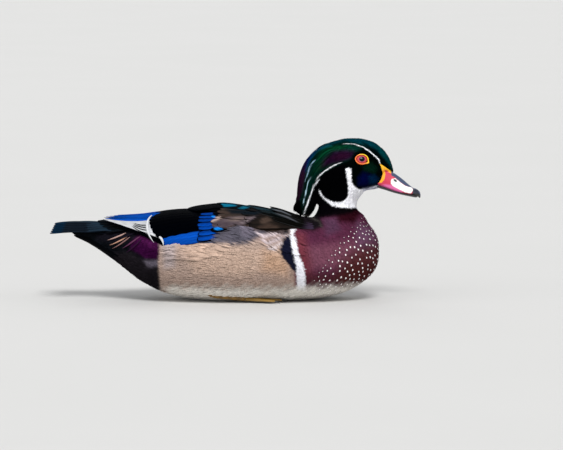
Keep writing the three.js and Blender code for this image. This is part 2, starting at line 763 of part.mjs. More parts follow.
function nostril(side) {
  const angle = Math.PI / 3.2;
  const wall = upperBillBody.point(NOSTRIL.x, angle);
  const geometry = new THREE.SphereGeometry(1, 10, 6);
  geometry.scale(NOSTRIL.long, 1.8, NOSTRIL.high);
  geometry.rotateY(NOSTRIL.pitch);
  geometry.translate(NOSTRIL.x, side * wall.y, NOSTRIL.z);
  return solidOf(geometry);
}

// The hanging crest as a chart: t counts along its ribs, and angle runs round it from the rear.
const crestCurves = curvesOf(
  CREST_RIBS.map((rib, t) => ({ ...rib, t })),
  "t",
  ["x", "z", "deep", "beam"],
);
function crestPoint(t, angle, height) {
  const place = (at) => new THREE.Vector3(crestCurves.x(at), 0, crestCurves.z(at));
  const along = place(t + NUDGE).sub(place(t - NUDGE)).normalize();
  const rearward = Y_AXIS.clone().cross(along);
  return place(t)
    .addScaledVector(Y_AXIS, Math.sin(angle) * (crestCurves.beam(t) + height))
    .addScaledVector(rearward, Math.cos(angle) * (crestCurves.deep(t) + height));
}

// One ring of tapered locks that run down the crest, each with one edge over its neighbour's.
function crestRing({ perSide, step, half, root, tip, shorter, height, slant }) {
  const stations = [0, 0.13, 0.29, 0.5, 0.8, 1];
  const width = [0.6, 1, 1.05, 1.1, 0.9, 0.2];
  const locks = [];
  for (let k = -perSide; k <= perSide; k += 1) {
    const at = (under) => (r, c) => {
      const end = tip - shorter * k * k;
      const t = root + (end - root) * stations[r];
      const off = (c - 1) * half * width[r];
      const outward = k === 0 ? CREST_LOCKS.middle : Math.sign(k) * (c - 1) * slant * width[r];
      const sunk = r === 0 ? CREST_LOCKS.sunk : 0;
      const thick = under * CREST_LOCKS.thick * (r === stations.length - 1 ? CREST_LOCKS.tipThick : 1);
      return crestPoint(t, k * step + off, height + outward - sunk - thick);
    };
    locks.push(slab(stations.length, 3, at(1), at(0)));
  }
  return locks;
}

const bothSides = Object.values(SIDES);
const neckRibs = NECK_RIBS.map((rib) => ({ ...rib, deep: rib.reach }));
const neckTube = tube(neckRibs, NECK_ROUND);
const coreRibs = [...CREST_RIBS.slice(0, CREST_CORE.ribs), CREST_CORE.end];
const crestCore = tube(coreRibs, CREST_ROUND, -CREST_CORE.shrink);
const nape = headBody.solid({ ...NAPE_MESH, grow: -CREST_CORE.shrink }).add(crestCore);
const crestLocks = union([...crestRing(CREST_LOCKS.outer), ...crestRing(CREST_LOCKS.inner)]);
const trunk = union([torsoBody.solid(TORSO_MESH), ...bothSides.map((side) => flankPad(side))]);

const nodes = {};
nodes.crest = largest(sideOf(nape.add(crestLocks), NAPE_CUT, 1));
const skull = headBody.solid(HEAD_MESH).add(neckTube);
const headPiece = sideOf(sideOf(skull, NAPE_CUT, -1), HEAD_CUT, 1);
const eyeSockets = bothSides.map((side) => ball(eyeCentre(side), EYE.radius + GAP));
nodes.head = largest(union([headPiece, ...bothSides.map(lids)]).subtract(union(eyeSockets)));
nodes.neck = largest(
  sideOf(sideOf(skull, HEAD_CUT, -1), NECK_CUT, 1).subtract(tube(CREST_RIBS, 20, 2 * GAP)),
);
const headGrown = headBody.solid({ ...HEAD_MESH, grow: GAP });
nodes.bill_upper = largest(
  upperBillBody.solid(BILL_MESH).subtract(union([headGrown, ...bothSides.map(nostril)])),
);
const upperBillGrown = upperBillBody.solid({ ...BILL_MESH, grow: GAP });
nodes.bill_lower = largest(lowerBillBody.solid(BILL_MESH).subtract(union([headGrown, upperBillGrown])));

let torso = sideOf(sideOf(trunk.add(neckTube), NECK_CUT, -1), TAIL_CUT, -1).trimByPlane([0, 0, 1], 0);
const tailFeathers = bothSides.flatMap((side) => [
  ...TAIL_ROWS.flatMap((row) => tailRow(side, row)),
  ...[...UNDER_TAIL, ...RUMP_PLUMES].map((one) => sharedFeather(side, one)),
]);
nodes.tail = largest(sideOf(union([trunk, ...tailFeathers]), TAIL_CUT, 1));
const skinGrown = torsoBody.solid({ ...TORSO_MESH, grow: GAP }).add(tube(neckRibs, NECK_ROUND, GAP));
for (const [name, side] of Object.entries(SIDES)) {
  const padGrown = flankPad(side, GAP);
  const pocket = wingCore(side, GAP, WING_CORE.pocket);
  nodes[`eye_${name}`] = ball(eyeCentre(side), EYE.radius);
  nodes[`wing_${name}`] = largest(wingForm(side).subtract(padGrown.add(skinGrown.subtract(pocket))));
  torso = torso.subtract(union([pocket.subtract(flankPad(side)), legForm(side, GAP), footBed(side)]));
  nodes[`foot_${name}`] = footForm(side);
  nodes[`leg_${name}`] = largest(legForm(side).subtract(footForm(side, GAP)));
}
nodes.torso = largest(torso);

const LOOKS = {
  crest: { color: "#17362f", roughness: 0.45 },
  head: { color: "#132a25", roughness: 0.45 },
  neck: { color: "#1a1216", roughness: 0.7 },
  torso: { color: "#b39a7b", roughness: 0.8 },
  tail: { color: "#1f2a30", roughness: 0.6 },
  wing: { color: "#1c3763", roughness: 0.5 },
  bill: { color: "#c0424c", roughness: 0.4 },
  eye: { color: "#b02a1c", roughness: 0.1 },
  leg: { color: "#b08a35", roughness: 0.6 },
  foot: { color: "#8a7138", roughness: 0.6 },
};

const duck = new THREE.Group();
for (const [name, solid] of Object.entries(nodes)) {
  const { vertProperties, triVerts } = solid.getMesh();
  const geometry = new THREE.BufferGeometry();
  geometry.setAttribute("position", new THREE.BufferAttribute(vertProperties, 3));
  geometry.setIndex(new THREE.BufferAttribute(triVerts, 1));
  geometry.computeVertexNormals();
  const look = LOOKS[name.split("_")[0]];
  const mesh = new THREE.Mesh(geometry, new THREE.MeshStandardMaterial({ ...look, metalness: 0 }));
  mesh.name = name;
  duck.add(mesh);
}

export default duck;
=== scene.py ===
"""A drake wood duck, afloat and at rest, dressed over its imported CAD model.

Lengths are millimetres until a mesh is made: +X runs towards the bill, +Y to the bird's left, +Z up.
"""

from __future__ import annotations

import logging
import math
from dataclasses import dataclass, field
from enum import Enum
from functools import cache
from itertools import product
from typing import Callable, Sequence

import bpy
import numpy as np
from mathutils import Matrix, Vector
from mathutils.bvhtree import BVHTree
from mathutils.kdtree import KDTree


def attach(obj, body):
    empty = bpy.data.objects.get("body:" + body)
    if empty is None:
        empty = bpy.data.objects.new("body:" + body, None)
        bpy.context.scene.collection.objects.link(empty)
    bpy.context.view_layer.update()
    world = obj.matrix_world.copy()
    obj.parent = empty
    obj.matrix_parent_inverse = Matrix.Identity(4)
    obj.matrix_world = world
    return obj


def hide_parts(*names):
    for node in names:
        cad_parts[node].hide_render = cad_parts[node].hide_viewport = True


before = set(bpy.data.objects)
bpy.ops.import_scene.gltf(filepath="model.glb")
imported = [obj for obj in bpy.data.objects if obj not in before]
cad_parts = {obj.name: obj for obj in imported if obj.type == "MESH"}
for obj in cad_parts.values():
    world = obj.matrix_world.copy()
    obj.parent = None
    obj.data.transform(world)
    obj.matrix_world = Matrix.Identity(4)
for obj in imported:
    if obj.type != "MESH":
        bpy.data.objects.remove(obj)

Array = np.ndarray
Pair = tuple[float, float]
Triple = tuple[float, float, float]
Knots = Sequence[Pair]
Socket = bpy.types.NodeSocket
MM = 0.001
LOG = logging.getLogger("wood_duck")


class Side(Enum):
    """The bird's two sides, as the sign of Y."""

    RIGHT = -1
    LEFT = 1


# ---- shapes and numbers


def eased(low: float, high: float, value: Array) -> Array:
    """Rises smoothly from 0 at low to 1 at high.

    Args:
        low: value that gives 0.
        high: value that gives 1; it may be below low.
        value: values to map.

    Returns:
        One share per value.
    """
    t = np.clip((value - low) / (high - low), 0.0, 1.0)
    return t * t * (3.0 - 2.0 * t)


def unit(vectors: Array) -> Array:
    """Gives the vectors length 1."""
    return vectors / np.maximum(np.linalg.norm(vectors, axis=-1, keepdims=True), 1e-9)


def floored(points: Array, near: float = 0.6) -> Array:
    """Presses points close to the floor or under it back above it, without folding them.

    Args:
        points: the points, which are changed.
        near: height below which points are pressed.

    Returns:
        The same points.
    """
    low = points[..., 2] < near
    points[..., 2] = np.where(low, near * np.exp(np.minimum(points[..., 2] / near - 1, 0)), points[..., 2])
    return points


def ball(rings: int, around: int, poles: float) -> tuple[Array, Array]:
    """Points of a ball of size 1 round the origin, ring by ring from its top.

    Args:
        rings: number of rings.
        around: points in a ring.
        poles: angle left open round each pole.

    Returns:
        The points and each one's angle round the upright axis.
    """
    polar = np.linspace(poles, math.pi - poles, rings)[:, None]
    turn = np.linspace(0, 2 * math.pi, around, endpoint=False)[None, :]
    points = [np.sin(polar) * np.cos(turn), np.sin(polar) * np.sin(turn), np.cos(polar) + 0 * turn]
    return np.stack(points, axis=-1), turn + 0 * polar


def across_of(vectors: Array, normals: Array) -> Array:
    """Turns vectors into the surface and gives them length 1."""
    return unit(vectors - normals * np.sum(vectors * normals, axis=-1, keepdims=True))


def colour(code: str) -> Array:
    """Turns a display colour such as "1a2b3c" into linear red, green and blue."""
    shown = np.array([int(code[i : i + 2], 16) for i in (0, 2, 4)]) / 255.0
    return np.where(shown <= 0.04045, shown / 12.92, ((shown + 0.055) / 1.055) ** 2.4)


def glossed(code: str, gloss: float = 0.0) -> Array:
    """Puts the iridescence behind a display colour's three numbers."""
    return np.append(colour(code), gloss)


def blended(first: Array, second: Array, share: Array) -> Array:
    """Mixes two rows of numbers, by the second one's share."""
    return first * (1 - share) + second * share


def wander(points: Array, size: float, seed: float) -> Array:
    """A smooth wandering value between about -1 and 1.

    Args:
        points: places, one row each.
        size: distance over which the value changes.
        seed: shifts the pattern.

    Returns:
        One value per place.
    """
    p = points / size
    x, y, z = p[..., 0], p[..., 1], p[..., 2]
    first = np.sin(x * 2.1 + seed + 1.7 * np.sin(z * 1.3 + seed)) * np.cos(z * 1.9 - y * 0.8)
    return 0.6 * first + 0.4 * np.sin(x * 4.7 - z * 3.9 + y * 2.3 + seed * 2.0)


class Curve:
    """A curve through knots that doesn't overshoot between them."""

    def __init__(self, at: Sequence[float], values: Sequence[float]) -> None:
        """Finds the slope at each knot.

        Args:
            at: places of the knots, rising.
            values: value at each knot.
        """
        self.at, self.values = np.asarray(at, float), np.asarray(values, float)
        slope = np.diff(self.values) / np.diff(self.at)
        product, total = slope[:-1] * slope[1:], slope[:-1] + slope[1:]
        inner = np.where(product > 0, 2 * product / np.where(total == 0, 1, total), 0.0)
        self.slope = np.concatenate([slope[:1], inner, slope[-1:]])

    def __call__(self, x: Array | float) -> Array:
        """Reads the curve.

        Args:
            x: places along the curve.

        Returns:
            One value per place.
        """
        x = np.asarray(x, float)
        i = np.clip(np.searchsorted(self.at, x, side="right") - 1, 0, len(self.at) - 2)
        span = self.at[i + 1] - self.at[i]
        t = (x - self.at[i]) / span
        s = 1 - t
        ends = s * s * (1 + 2 * t) * self.values[i] + t * t * (3 - 2 * t) * self.values[i + 1]
        return ends + s * t * span * (s * self.slope[i] - t * self.slope[i + 1])


def curve_of(knots: Knots) -> Curve:
    """Makes a curve from pairs of place and value."""
    return Curve([k[0] for k in knots], [k[1] for k in knots])


@dataclass
class Shape:
    """Points and faces of one piece, with values carried by its points."""

    points: Array
    faces: list[Array]
    values: dict[str, Array] = field(default_factory=dict)

    def painted(self, tint: Array, marks: Array | None = None, rim: Array | None = None) -> Shape:
        """Adds the colours that the finishes read.

        Args:
            tint: colour and iridescence per point, four columns.
            marks: width of rim, fleck and bars per point, three columns.
            rim: colour of the rim per point.

        Returns:
            The shape itself.
        """
        count = len(self.points)
        marks = np.zeros((count, 3)) if marks is None else marks
        rim = np.zeros((count, 3)) if rim is None else rim
        self.values["tint"] = np.column_stack([tint[:, :3], np.ones(count)])
        self.values["marks"] = np.column_stack([marks, tint[:, 3]])
        self.values["rim"] = np.column_stack([rim, np.ones(count)])
        return self

    def plain(self, tint: Array) -> Shape:
        """Adds one colour, or one for each point, without iridescence."""
        full = np.broadcast_to(tint, (len(self.points), 3))
        return self.painted(np.column_stack([full, np.zeros(len(full))]))


def joined(shapes: Sequence[Shape]) -> Shape:
    """Joins shapes into one, keeping the values that the first one has.

    Args:
        shapes: the shapes.

    Returns:
        One shape.
    """
    starts = np.cumsum([0] + [len(s.points) for s in shapes[:-1]])
    faces = [f + start for s, start in zip(shapes, starts) for f in s.faces]
    names = shapes[0].values
    values = {n: np.concatenate([s.values[n] for s in shapes]) for n in names}
    return Shape(np.concatenate([s.points for s in shapes]), faces, values)


def closed_faces(rows: int, columns: int) -> Array:
    """Faces of two equal grids of points, one over the other, with a wall round their edges.

    Args:
        rows: rows of points in a grid.
        columns: points in a row.

    Returns:
        Four point numbers per face.
    """
    number = np.arange(rows * columns).reshape(rows, columns)
    corners = (number[:-1, :-1], number[:-1, 1:], number[1:, 1:], number[1:, :-1])
    upper = np.column_stack([corner.ravel() for corner in corners])
    rim = np.concatenate([number[0, :-1], number[:-1, -1], number[-1, :0:-1], number[:0:-1, 0]])
    ahead, below = np.roll(rim, -1), number.size
    wall = np.column_stack([ahead, rim, rim + below, ahead + below])
    return np.concatenate([upper, upper[:, ::-1] + below, wall])


def loft(rings: Array) -> Shape:
    """Skins closed rings of points, and closes both ends with a fan round a middle point.

    Args:
        rings: rings by points by 3.

    Returns:
        One closed shape.
    """
    number = np.arange(rings.shape[0] * rings.shape[1]).reshape(rings.shape[:2])
    ahead = np.roll(number, -1, axis=1)
    quads = np.stack([number[:-1], ahead[:-1], ahead[1:], number[1:]], axis=-1).reshape(-1, 4)
    middle = np.full(rings.shape[1], number.size)
    fans = [
        np.column_stack([ahead[0], number[0], middle]),
        np.column_stack([number[-1], ahead[-1], middle + 1]),
    ]
    middles = np.array([rings[0].mean(axis=0), rings[-1].mean(axis=0)])
    return outward(Shape(np.concatenate([rings.reshape(-1, 3), middles]), [quads, *fans]))


def outward(shape: Shape) -> Shape:
    """Turns a closed shape's faces the right way out.

    Args:
        shape: the shape, which is changed.

    Returns:
        The shape itself.
    """
    volume = 0.0
    for faces in shape.faces:
        corner = [shape.points[faces[:, k]] for k in range(faces.shape[1])]
        for k in range(1, faces.shape[1] - 1):
            volume += np.sum(corner[0] * np.cross(corner[k], corner[k + 1]))
    if volume < 0:
        shape.faces = [faces[:, ::-1] for faces in shape.faces]
    return shape


def mesh_from(name: str, shape: Shape) -> bpy.types.Mesh:
    """Makes a smooth mesh, in metres, with the shape's values as attributes.

    Args:
        name: name of the mesh.
        shape: points, faces and values. "vane" and "bake" are laid out as UV maps, and "edge" marks
            the points whose shared edges stay sharp.

    Returns:
        The mesh.
    """
    mesh = bpy.data.meshes.new(name)
    loops = np.concatenate([f.ravel() for f in shape.faces]).astype(np.int32)
    sizes = np.concatenate([np.full(len(f), f.shape[1]) for f in shape.faces])
    mesh.vertices.add(len(shape.points))
    mesh.vertices.foreach_set("co", (shape.points * MM).astype(np.float32).ravel())
    mesh.loops.add(len(loops))
    mesh.loops.foreach_set("vertex_index", loops)
    mesh.polygons.add(len(sizes))
    mesh.polygons.foreach_set("loop_start", np.concatenate([[0], np.cumsum(sizes)[:-1]]).astype(np.int32))
    mesh.update(calc_edges=True)
    mesh.polygons.foreach_set("use_smooth", np.ones(len(sizes), bool))
    for key, value in shape.values.items():
        if key in ("vane", "bake"):
            layer = mesh.uv_layers.new(name="OFBake" if key == "bake" else "Vane")
            layer.data.foreach_set("uv", value[loops].astype(np.float32).ravel())
        elif key == "edge":
            ends = np.empty(len(mesh.edges) * 2, np.int32)
            mesh.edges.foreach_get("vertices", ends)
            both = value[ends.reshape(-1, 2)]
            sharp = (both > 0).all(axis=1) & (both[:, 0] == both[:, 1])
            mesh.attributes.new("sharp_edge", "BOOLEAN", "EDGE").data.foreach_set("value", sharp)
        else:
            layer = mesh.attributes.new(key, "FLOAT_COLOR", "POINT")
            layer.data.foreach_set("color", value.astype(np.float32).ravel())
    return mesh


def linked(name: str, data: bpy.types.ID) -> bpy.types.Object:
    """Puts an object in the scene.

    Args:
        name: the object's name.
        data: what it shows.

    Returns:
        The object.
    """
    made = bpy.data.objects.new(name, data)
    bpy.context.scene.collection.objects.link(made)
    return made


def applied(rough: bpy.types.Object) -> bpy.types.Mesh:
    """Gives the mesh that an object's modifiers make, and removes the object.

    Args:
        rough: the object.

    Returns:
        The mesh.
    """
    graph = bpy.context.evaluated_depsgraph_get()
    mesh = bpy.data.meshes.new_from_object(rough.evaluated_get(graph))
    bpy.data.objects.remove(rough)
    return mesh


def fused(name: str, shape: Shape, voxel: float, smoothing: int = 0) -> tuple[Array, Array, Array]:
    """Fuses overlapping closed shapes into one skin.

    Args:
        name: name for the mesh while it is made.
        shape: the shapes.
        voxel: size of the detail that is kept.
        smoothing: passes that smooth the skin.

    Returns:
        The skin's points, its edges and its four-sided faces.
    """
    rough = linked(name, mesh_from(name, shape))
    remesh = rough.modifiers.new("fused", "REMESH")
    remesh.mode = "VOXEL"
    remesh.voxel_size = voxel * MM
    if smoothing:
        rough.modifiers.new("smooth", "SMOOTH").iterations = smoothing
    mesh = applied(rough)
    points = np.empty(len(mesh.vertices) * 3, np.float32)
    mesh.vertices.foreach_get("co", points)
    edges = np.empty(len(mesh.edges) * 2, np.int32)
    mesh.edges.foreach_get("vertices", edges)
    corners = np.empty(len(mesh.loops), np.int32)
    mesh.loops.foreach_get("vertex_index", corners)
    bpy.data.meshes.remove(mesh)
    return points.reshape(-1, 3).astype(float) / MM, edges.reshape(-1, 2), corners.reshape(-1, 4)


def place_piece(name: str, made: Shape | bpy.types.Mesh, finish: Finish, slot: str, *replaces: str) -> None:
    """Puts a shape or a mesh in the scene as a piece of the bird.

    Args:
        name: the piece's name.
        made: its shape, or its mesh, placed where it belongs.
        finish: its finish.
        slot: name of the piece's material slot; it is not used.
        replaces: CAD nodes that it stands for.
    """
    mesh = mesh_from(name, made) if isinstance(made, Shape) else made
    piece = linked(name, mesh)
    mesh.materials.clear()
    mesh.materials.append(finish.material())
    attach(piece, "root")
    if replaces:
        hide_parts(*replaces)
    LOG.info("%s: %d faces", name, len(mesh.polygons))


# ---- the bird's flesh, as sections


@dataclass(frozen=True)
class RibbedBody:
    """A body whose upright sections along X are rounded; each rib is x, top, keel, beam and waist."""

    ribs: Array
    fullness: float

    def size(self, column: int) -> Curve:
        """One of the ribs' sizes as a curve along X."""
        return Curve(self.ribs[:, 0], self.ribs[:, column])

    def point(self, x: Array, angle: Array, grow: float = 0.0) -> Array:
        """Points on the surface.

        Args:
            x: place along the body.
            angle: 0 on the spine, pi on the keel, negative on the right side.
            grow: how far the surface is moved outwards.

        Returns:
            One point per pair of x and angle.
        """
        x, angle = np.broadcast_arrays(np.asarray(x, float), np.asarray(angle, float))
        sine, cosine = np.sin(angle), np.cos(angle)
        across = np.sign(sine) * np.abs(sine) ** (2 / self.fullness)
        up = np.sign(cosine) * np.abs(cosine) ** (2 / self.fullness)
        top, keel, beam, waist = (self.size(k)(x) for k in (1, 2, 3, 4))
        reach = np.maximum(np.where(up > 0, top - waist, waist - keel) + grow, 0.2)
        return np.stack([x, across * np.maximum(beam + grow, 0.2), waist + up * reach], axis=-1)

    def rings(self, around: int, step: float, grow: float = 0.0) -> Array:
        """Lays rings of points from the first rib to the last.

        Args:
            around: points in a ring.
            step: greatest distance between rings.
            grow: how far the surface is moved outwards.

        Returns:
            Rings by points by 3.
        """
        first, last = self.ribs[0, 0] - grow, self.ribs[-1, 0] + grow
        x = np.linspace(first, last, int((last - first) / step) + 2)
        angle = np.linspace(0, 2 * math.pi, around, endpoint=False)
        kept = np.clip(x, self.ribs[0, 0], self.ribs[-1, 0])
        rings = self.point(kept[:, None], angle[None, :], grow)
        rings[..., 0] = x[:, None]
        return rings


@dataclass(frozen=True)
class BentTube:
    """A tube in the bird's middle plane; each rib is x, z, half depth and half width."""

    ribs: Array

    def place(self, t: Array) -> Array:
        """Points on the tube's middle line.

        Args:
            t: place along the ribs, which count from 0.

        Returns:
            One point per place.
        """
        count = np.arange(len(self.ribs))
        x, z = Curve(count, self.ribs[:, 0])(t), Curve(count, self.ribs[:, 1])(t)
        return np.stack([x, np.zeros_like(x), z], axis=-1)

    def point(self, t: Array, angle: Array, height: Array | float = 0.0) -> Array:
        """Points at a height over the tube.

        Args:
            t: place along the ribs.
            angle: 0 at the rear, rising to the bird's left.
            height: distance outside the tube.

        Returns:
            One point per pair of t and angle.
        """
        t, angle = np.broadcast_arrays(np.asarray(t, float), np.asarray(angle, float))
        count = np.arange(len(self.ribs))
        deep, beam = Curve(count, self.ribs[:, 2])(t), Curve(count, self.ribs[:, 3])(t)
        along = unit(self.place(t + 0.01) - self.place(t - 0.01))
        rear = np.cross(np.array([0.0, 1.0, 0.0]), along)
        side = np.array([0.0, 1.0, 0.0])
        out = rear * (np.cos(angle) * np.maximum(deep + height, 0.3))[..., None]
        return self.place(t) + out + side * (np.sin(angle) * np.maximum(beam + height, 0.3))[..., None]

    def rings(self, around: int, step: float, grow: float = 0.0) -> Array:
        """Lays rings of points from the first rib to the last.

        Args:
            around: points in a ring.
            step: distance between rings, counted in ribs.
            grow: how far the surface is moved outwards.

        Returns:
            Rings by points by 3.
        """
        t = np.arange(0, len(self.ribs) - 1 + step / 2, step)
        angle = np.linspace(0, 2 * math.pi, around, endpoint=False)
        return self.point(t[:, None], angle[None, :], grow)


TORSO = RibbedBody(
    np.array([
        [-187, 73, 70, 9, 71.5], [-183, 75, 67.5, 15, 71], [-170, 77.5, 61, 19, 69.5],
        [-155, 79, 51, 23.5, 66], [-137, 80.5, 37, 31, 60], [-115, 83.6, 20, 41.5, 54],
        [-90, 89.6, 7.5, 52, 49], [-75, 91.9, 3.6, 56.8, 47.6], [-60, 93.2, 1, 60.5, 46.5],
        [-45, 94.4, -0.4, 63, 46.2], [-30, 96.2, -1.4, 64.5, 46], [0, 94.6, -1.8, 65.5, 46],
        [30, 90.8, -1.6, 64.5, 46.5], [60, 86, -0.4, 61, 47.5], [85, 87.5, 3, 54.5, 49],
        [105, 88, 9.5, 46, 50.5], [120, 83.5, 18.5, 36, 51.5], [130, 73.5, 28, 25, 51.5],
        [135, 64, 38, 14, 51], [136.5, 55, 47, 5, 51],
    ]),
    2.25,
)
HEAD = RibbedBody(
    np.array([
        [64, 147.5, 124, 4, 136], [67, 153, 116, 7.5, 135], [78, 162.8, 104, 14.5, 132],
        [90, 167, 99, 20, 130], [103, 169.5, 98.5, 22, 129.5], [114, 169.5, 106, 21.2, 131],
        [121, 168.2, 114, 19.5, 133], [130, 165.2, 115.4, 16, 135], [137, 160.6, 117.4, 12.3, 136],
        [140.5, 157.2, 133, 10, 144], [146, 149, 133.5, 6.5, 141], [150, 138.5, 131.5, 3, 134.5],
        [151.3, 134, 131.8, 1.2, 133],
    ]),
    2.1,
)
NECK = BentTube(
    np.array([
        [86, 58, 40, 36], [92, 72, 36, 34], [92.4, 84, 30, 27], [92, 92, 22.4, 22], [92, 98, 20.2, 19.6],
        [93, 106, 20.6, 19.5], [97, 116, 19.5, 20], [100, 128, 20, 15],
    ]),
)
CREST = BentTube(
    np.array([
        [100, 157, 10, 14], [86, 154.5, 11.8, 16.5], [76.4, 146.4, 12.9, 16.5], [67.6, 136.6, 12, 14.5],
        [62.3, 124, 11, 12], [60, 111.5, 10, 9.8], [58.2, 100.5, 8.8, 7.5], [54, 93, 8, 5],
        [51, 88.6, 5.5, 2.6],
    ]),
)
UPPER_BILL = RibbedBody(
    np.array([
        [133, 145, 119.8, 10.2, 123], [140, 139.6, 117.4, 9.8, 121], [146, 135.4, 115.1, 9.2, 118.5],
        [151, 132.8, 113.4, 8.8, 116.5], [160, 126.4, 111.6, 8.6, 113.6], [166, 121.2, 110.8, 8.5, 112.6],
        [171, 117.4, 110, 7.9, 112], [175.5, 115.2, 108, 6.2, 110.6], [178.4, 112.4, 106.2, 3.2, 109],
        [179, 110, 107, 1.4, 108.4],
    ]),
    1.9,
)
LOWER_BILL = RibbedBody(
    np.array([
        [133, 122, 117.6, 8.6, 119.6], [142, 119, 114.9, 8, 117], [151, 116, 112, 7.6, 114],
        [162, 113.6, 109.3, 7.2, 111.4], [170, 112.2, 107.7, 6.4, 110], [174.6, 111, 107, 4.4, 109],
        [176, 110, 107.8, 2, 108.8],
    ]),
    2.1,
)


class TorsoChart:
    """The torso's surface as a chart: x, and the girth from the spine round the flank."""

    def __init__(self, body: RibbedBody) -> None:
        """Measures the girth at closely spaced sections.

        Args:
            body: the body to chart.
        """
        self.body = body
        self.x = np.arange(body.ribs[0, 0], body.ribs[-1, 0], 1.0)
        angle = np.linspace(0, math.pi, 145)
        points = body.point(self.x[:, None], angle[None, :])
        steps = np.linalg.norm(np.diff(points, axis=1), axis=2)
        girth = np.concatenate([np.zeros((len(self.x), 1)), np.cumsum(steps, axis=1)], axis=1)
        self.total = girth[:, -1]
        self.marks = np.arange(0, self.total.max() + 1, 1.0)
        self.angles = np.array([np.interp(self.marks, g, angle) for g in girth])
        self.girths, self.fan = girth, angle

    def angle(self, x: Array, girth: Array) -> Array:
        """Finds the section's angle at places on the chart.

        Args:
            x: place along the body.
            girth: distance from the spine, not below 0.

        Returns:
            One angle per place.
        """
        i = np.clip((x - self.x[0]), 0, len(self.x) - 1.001)
        j = np.clip(girth, 0, len(self.marks) - 1.001)
        i0, j0 = i.astype(int), j.astype(int)
        fi, fj = i - i0, j - j0
        a = self.angles
        near = a[i0, j0] * (1 - fj) + a[i0, j0 + 1] * fj
        far = a[i0 + 1, j0] * (1 - fj) + a[i0 + 1, j0 + 1] * fj
        return near * (1 - fi) + far * fi

    def over(self, side: float, x: Array, girth: Array, height: Array | float) -> Array:
        """Points at a height over the torso.

        Args:
            side: 1 for the left, -1 for the right.
            x: place along the body.
            girth: distance from the spine; negative ones lie across it.
            height: distance outside the surface.

        Returns:
            One point per place.
        """
        x, girth, height = np.broadcast_arrays(*(np.asarray(v, float) for v in (x, girth, height)))
        x = np.clip(x, self.x[0] + 0.1, self.x[-1] - 0.1)
        angle = self.angle(x, np.abs(girth)) * np.where(girth < 0, -1, 1)
        here = self.body.point(x, angle)
        along = self.body.point(x + 0.05, angle) - self.body.point(x - 0.05, angle)
        around = self.body.point(x, angle + 0.02) - self.body.point(x, angle - 0.02)
        out = unit(np.cross(along, around))
        centre = np.stack([x, np.zeros_like(x), self.body.size(4)(x)], axis=-1)
        out *= np.sign(np.sum(out * (here - centre), axis=-1, keepdims=True))
        here = here + out * height[..., None]
        here[..., 1] *= side
        return here

    def where(self, points: Array) -> tuple[Array, Array]:
        """Finds places on the chart.

        Args:
            points: places on or near the torso.

        Returns:
            Each one's x and girth.
        """
        x = np.clip(points[:, 0], self.x[0] + 0.1, self.x[-1] - 0.1)
        top, keel, beam, waist = (self.body.size(k)(x) for k in (1, 2, 3, 4))
        rise = points[:, 2] - waist
        up = rise / np.where(rise > 0, top - waist, waist - keel)
        power = self.body.fullness / 2
        sine = np.abs(points[:, 1] / beam) ** power
        angle = np.arctan2(sine, np.sign(up) * np.abs(up) ** power)
        i = np.clip((x - self.x[0]), 0, len(self.x) - 1.001).astype(int)
        j = np.clip(angle / math.pi * (len(self.fan) - 1), 0, len(self.fan) - 1.001)
        j0 = j.astype(int)
        return x, self.girths[i, j0] * (1 - (j - j0)) + self.girths[i, j0 + 1] * (j - j0)


CHART = TorsoChart(TORSO)


# ---- the markings, drawn on a side view


@dataclass(frozen=True)
class SideView:
    """The drawing on which the markings are placed: columns run towards the bill and rows downwards."""

    pitch: float = 1.05
    column: float = 250.0
    water_row: float = 263.0
    draft: float = 38.0
    tilt: float = math.radians(5)

    def place(self, points: Array) -> Array:
        """Finds places on the drawing.

        Args:
            points: places on the bird, on either side.

        Returns:
            Two columns: column and row on the drawing.
        """
        rise = (points[..., 2] - self.draft) * math.cos(self.tilt)
        rise = rise - np.abs(points[..., 1]) * math.sin(self.tilt)
        return np.stack([points[..., 0] / self.pitch + self.column, self.water_row - rise / self.pitch], -1)


VIEW = SideView()
EYE_PLACE = (117.0, 148.6)
NECK_REAR, NECK_FOOT, HEAD_FOOT = 46.0, 86.0, 103.0


def round_eye(points: Array) -> Array:
    """Distance of places on the head from the eye's middle, 1 just outside its lids."""
    return np.hypot((points[:, 0] - EYE_PLACE[0]) / 7.4, (points[:, 2] - EYE_PLACE[1]) / 6.2)


def gaps_to(path: Array, places: Array, closed: bool) -> tuple[Array, Array, Array]:
    """Distance from places to a path on the drawing.

    Args:
        path: corners of the path.
        places: places, two columns.
        closed: whether the path runs back to its start.

    Returns:
        The distance, the share of the path at which it is met, and whether the place is inside.
    """
    ends = np.roll(path, -1, axis=0) if closed else path[1:]
    starts = path if closed else path[:-1]
    best = np.full(len(places), 1e9)
    share = np.zeros(len(places))
    inside = np.zeros(len(places), bool)
    px, py = places[:, 0], places[:, 1]
    for k, (a, b) in enumerate(zip(starts, ends)):
        run = b - a
        t = np.clip(((px - a[0]) * run[0] + (py - a[1]) * run[1]) / max(run @ run, 1e-9), 0, 1)
        gap = np.hypot(px - a[0] - run[0] * t, py - a[1] - run[1] * t)
        nearer = gap < best
        best = np.where(nearer, gap, best)
        share = np.where(nearer, (k + t) / len(starts), share)
        if closed and a[1] != b[1]:
            crosses = (a[1] > py) != (b[1] > py)
            inside ^= crosses & (px < run[0] * (py - a[1]) / run[1] + a[0])
    return best, share, inside


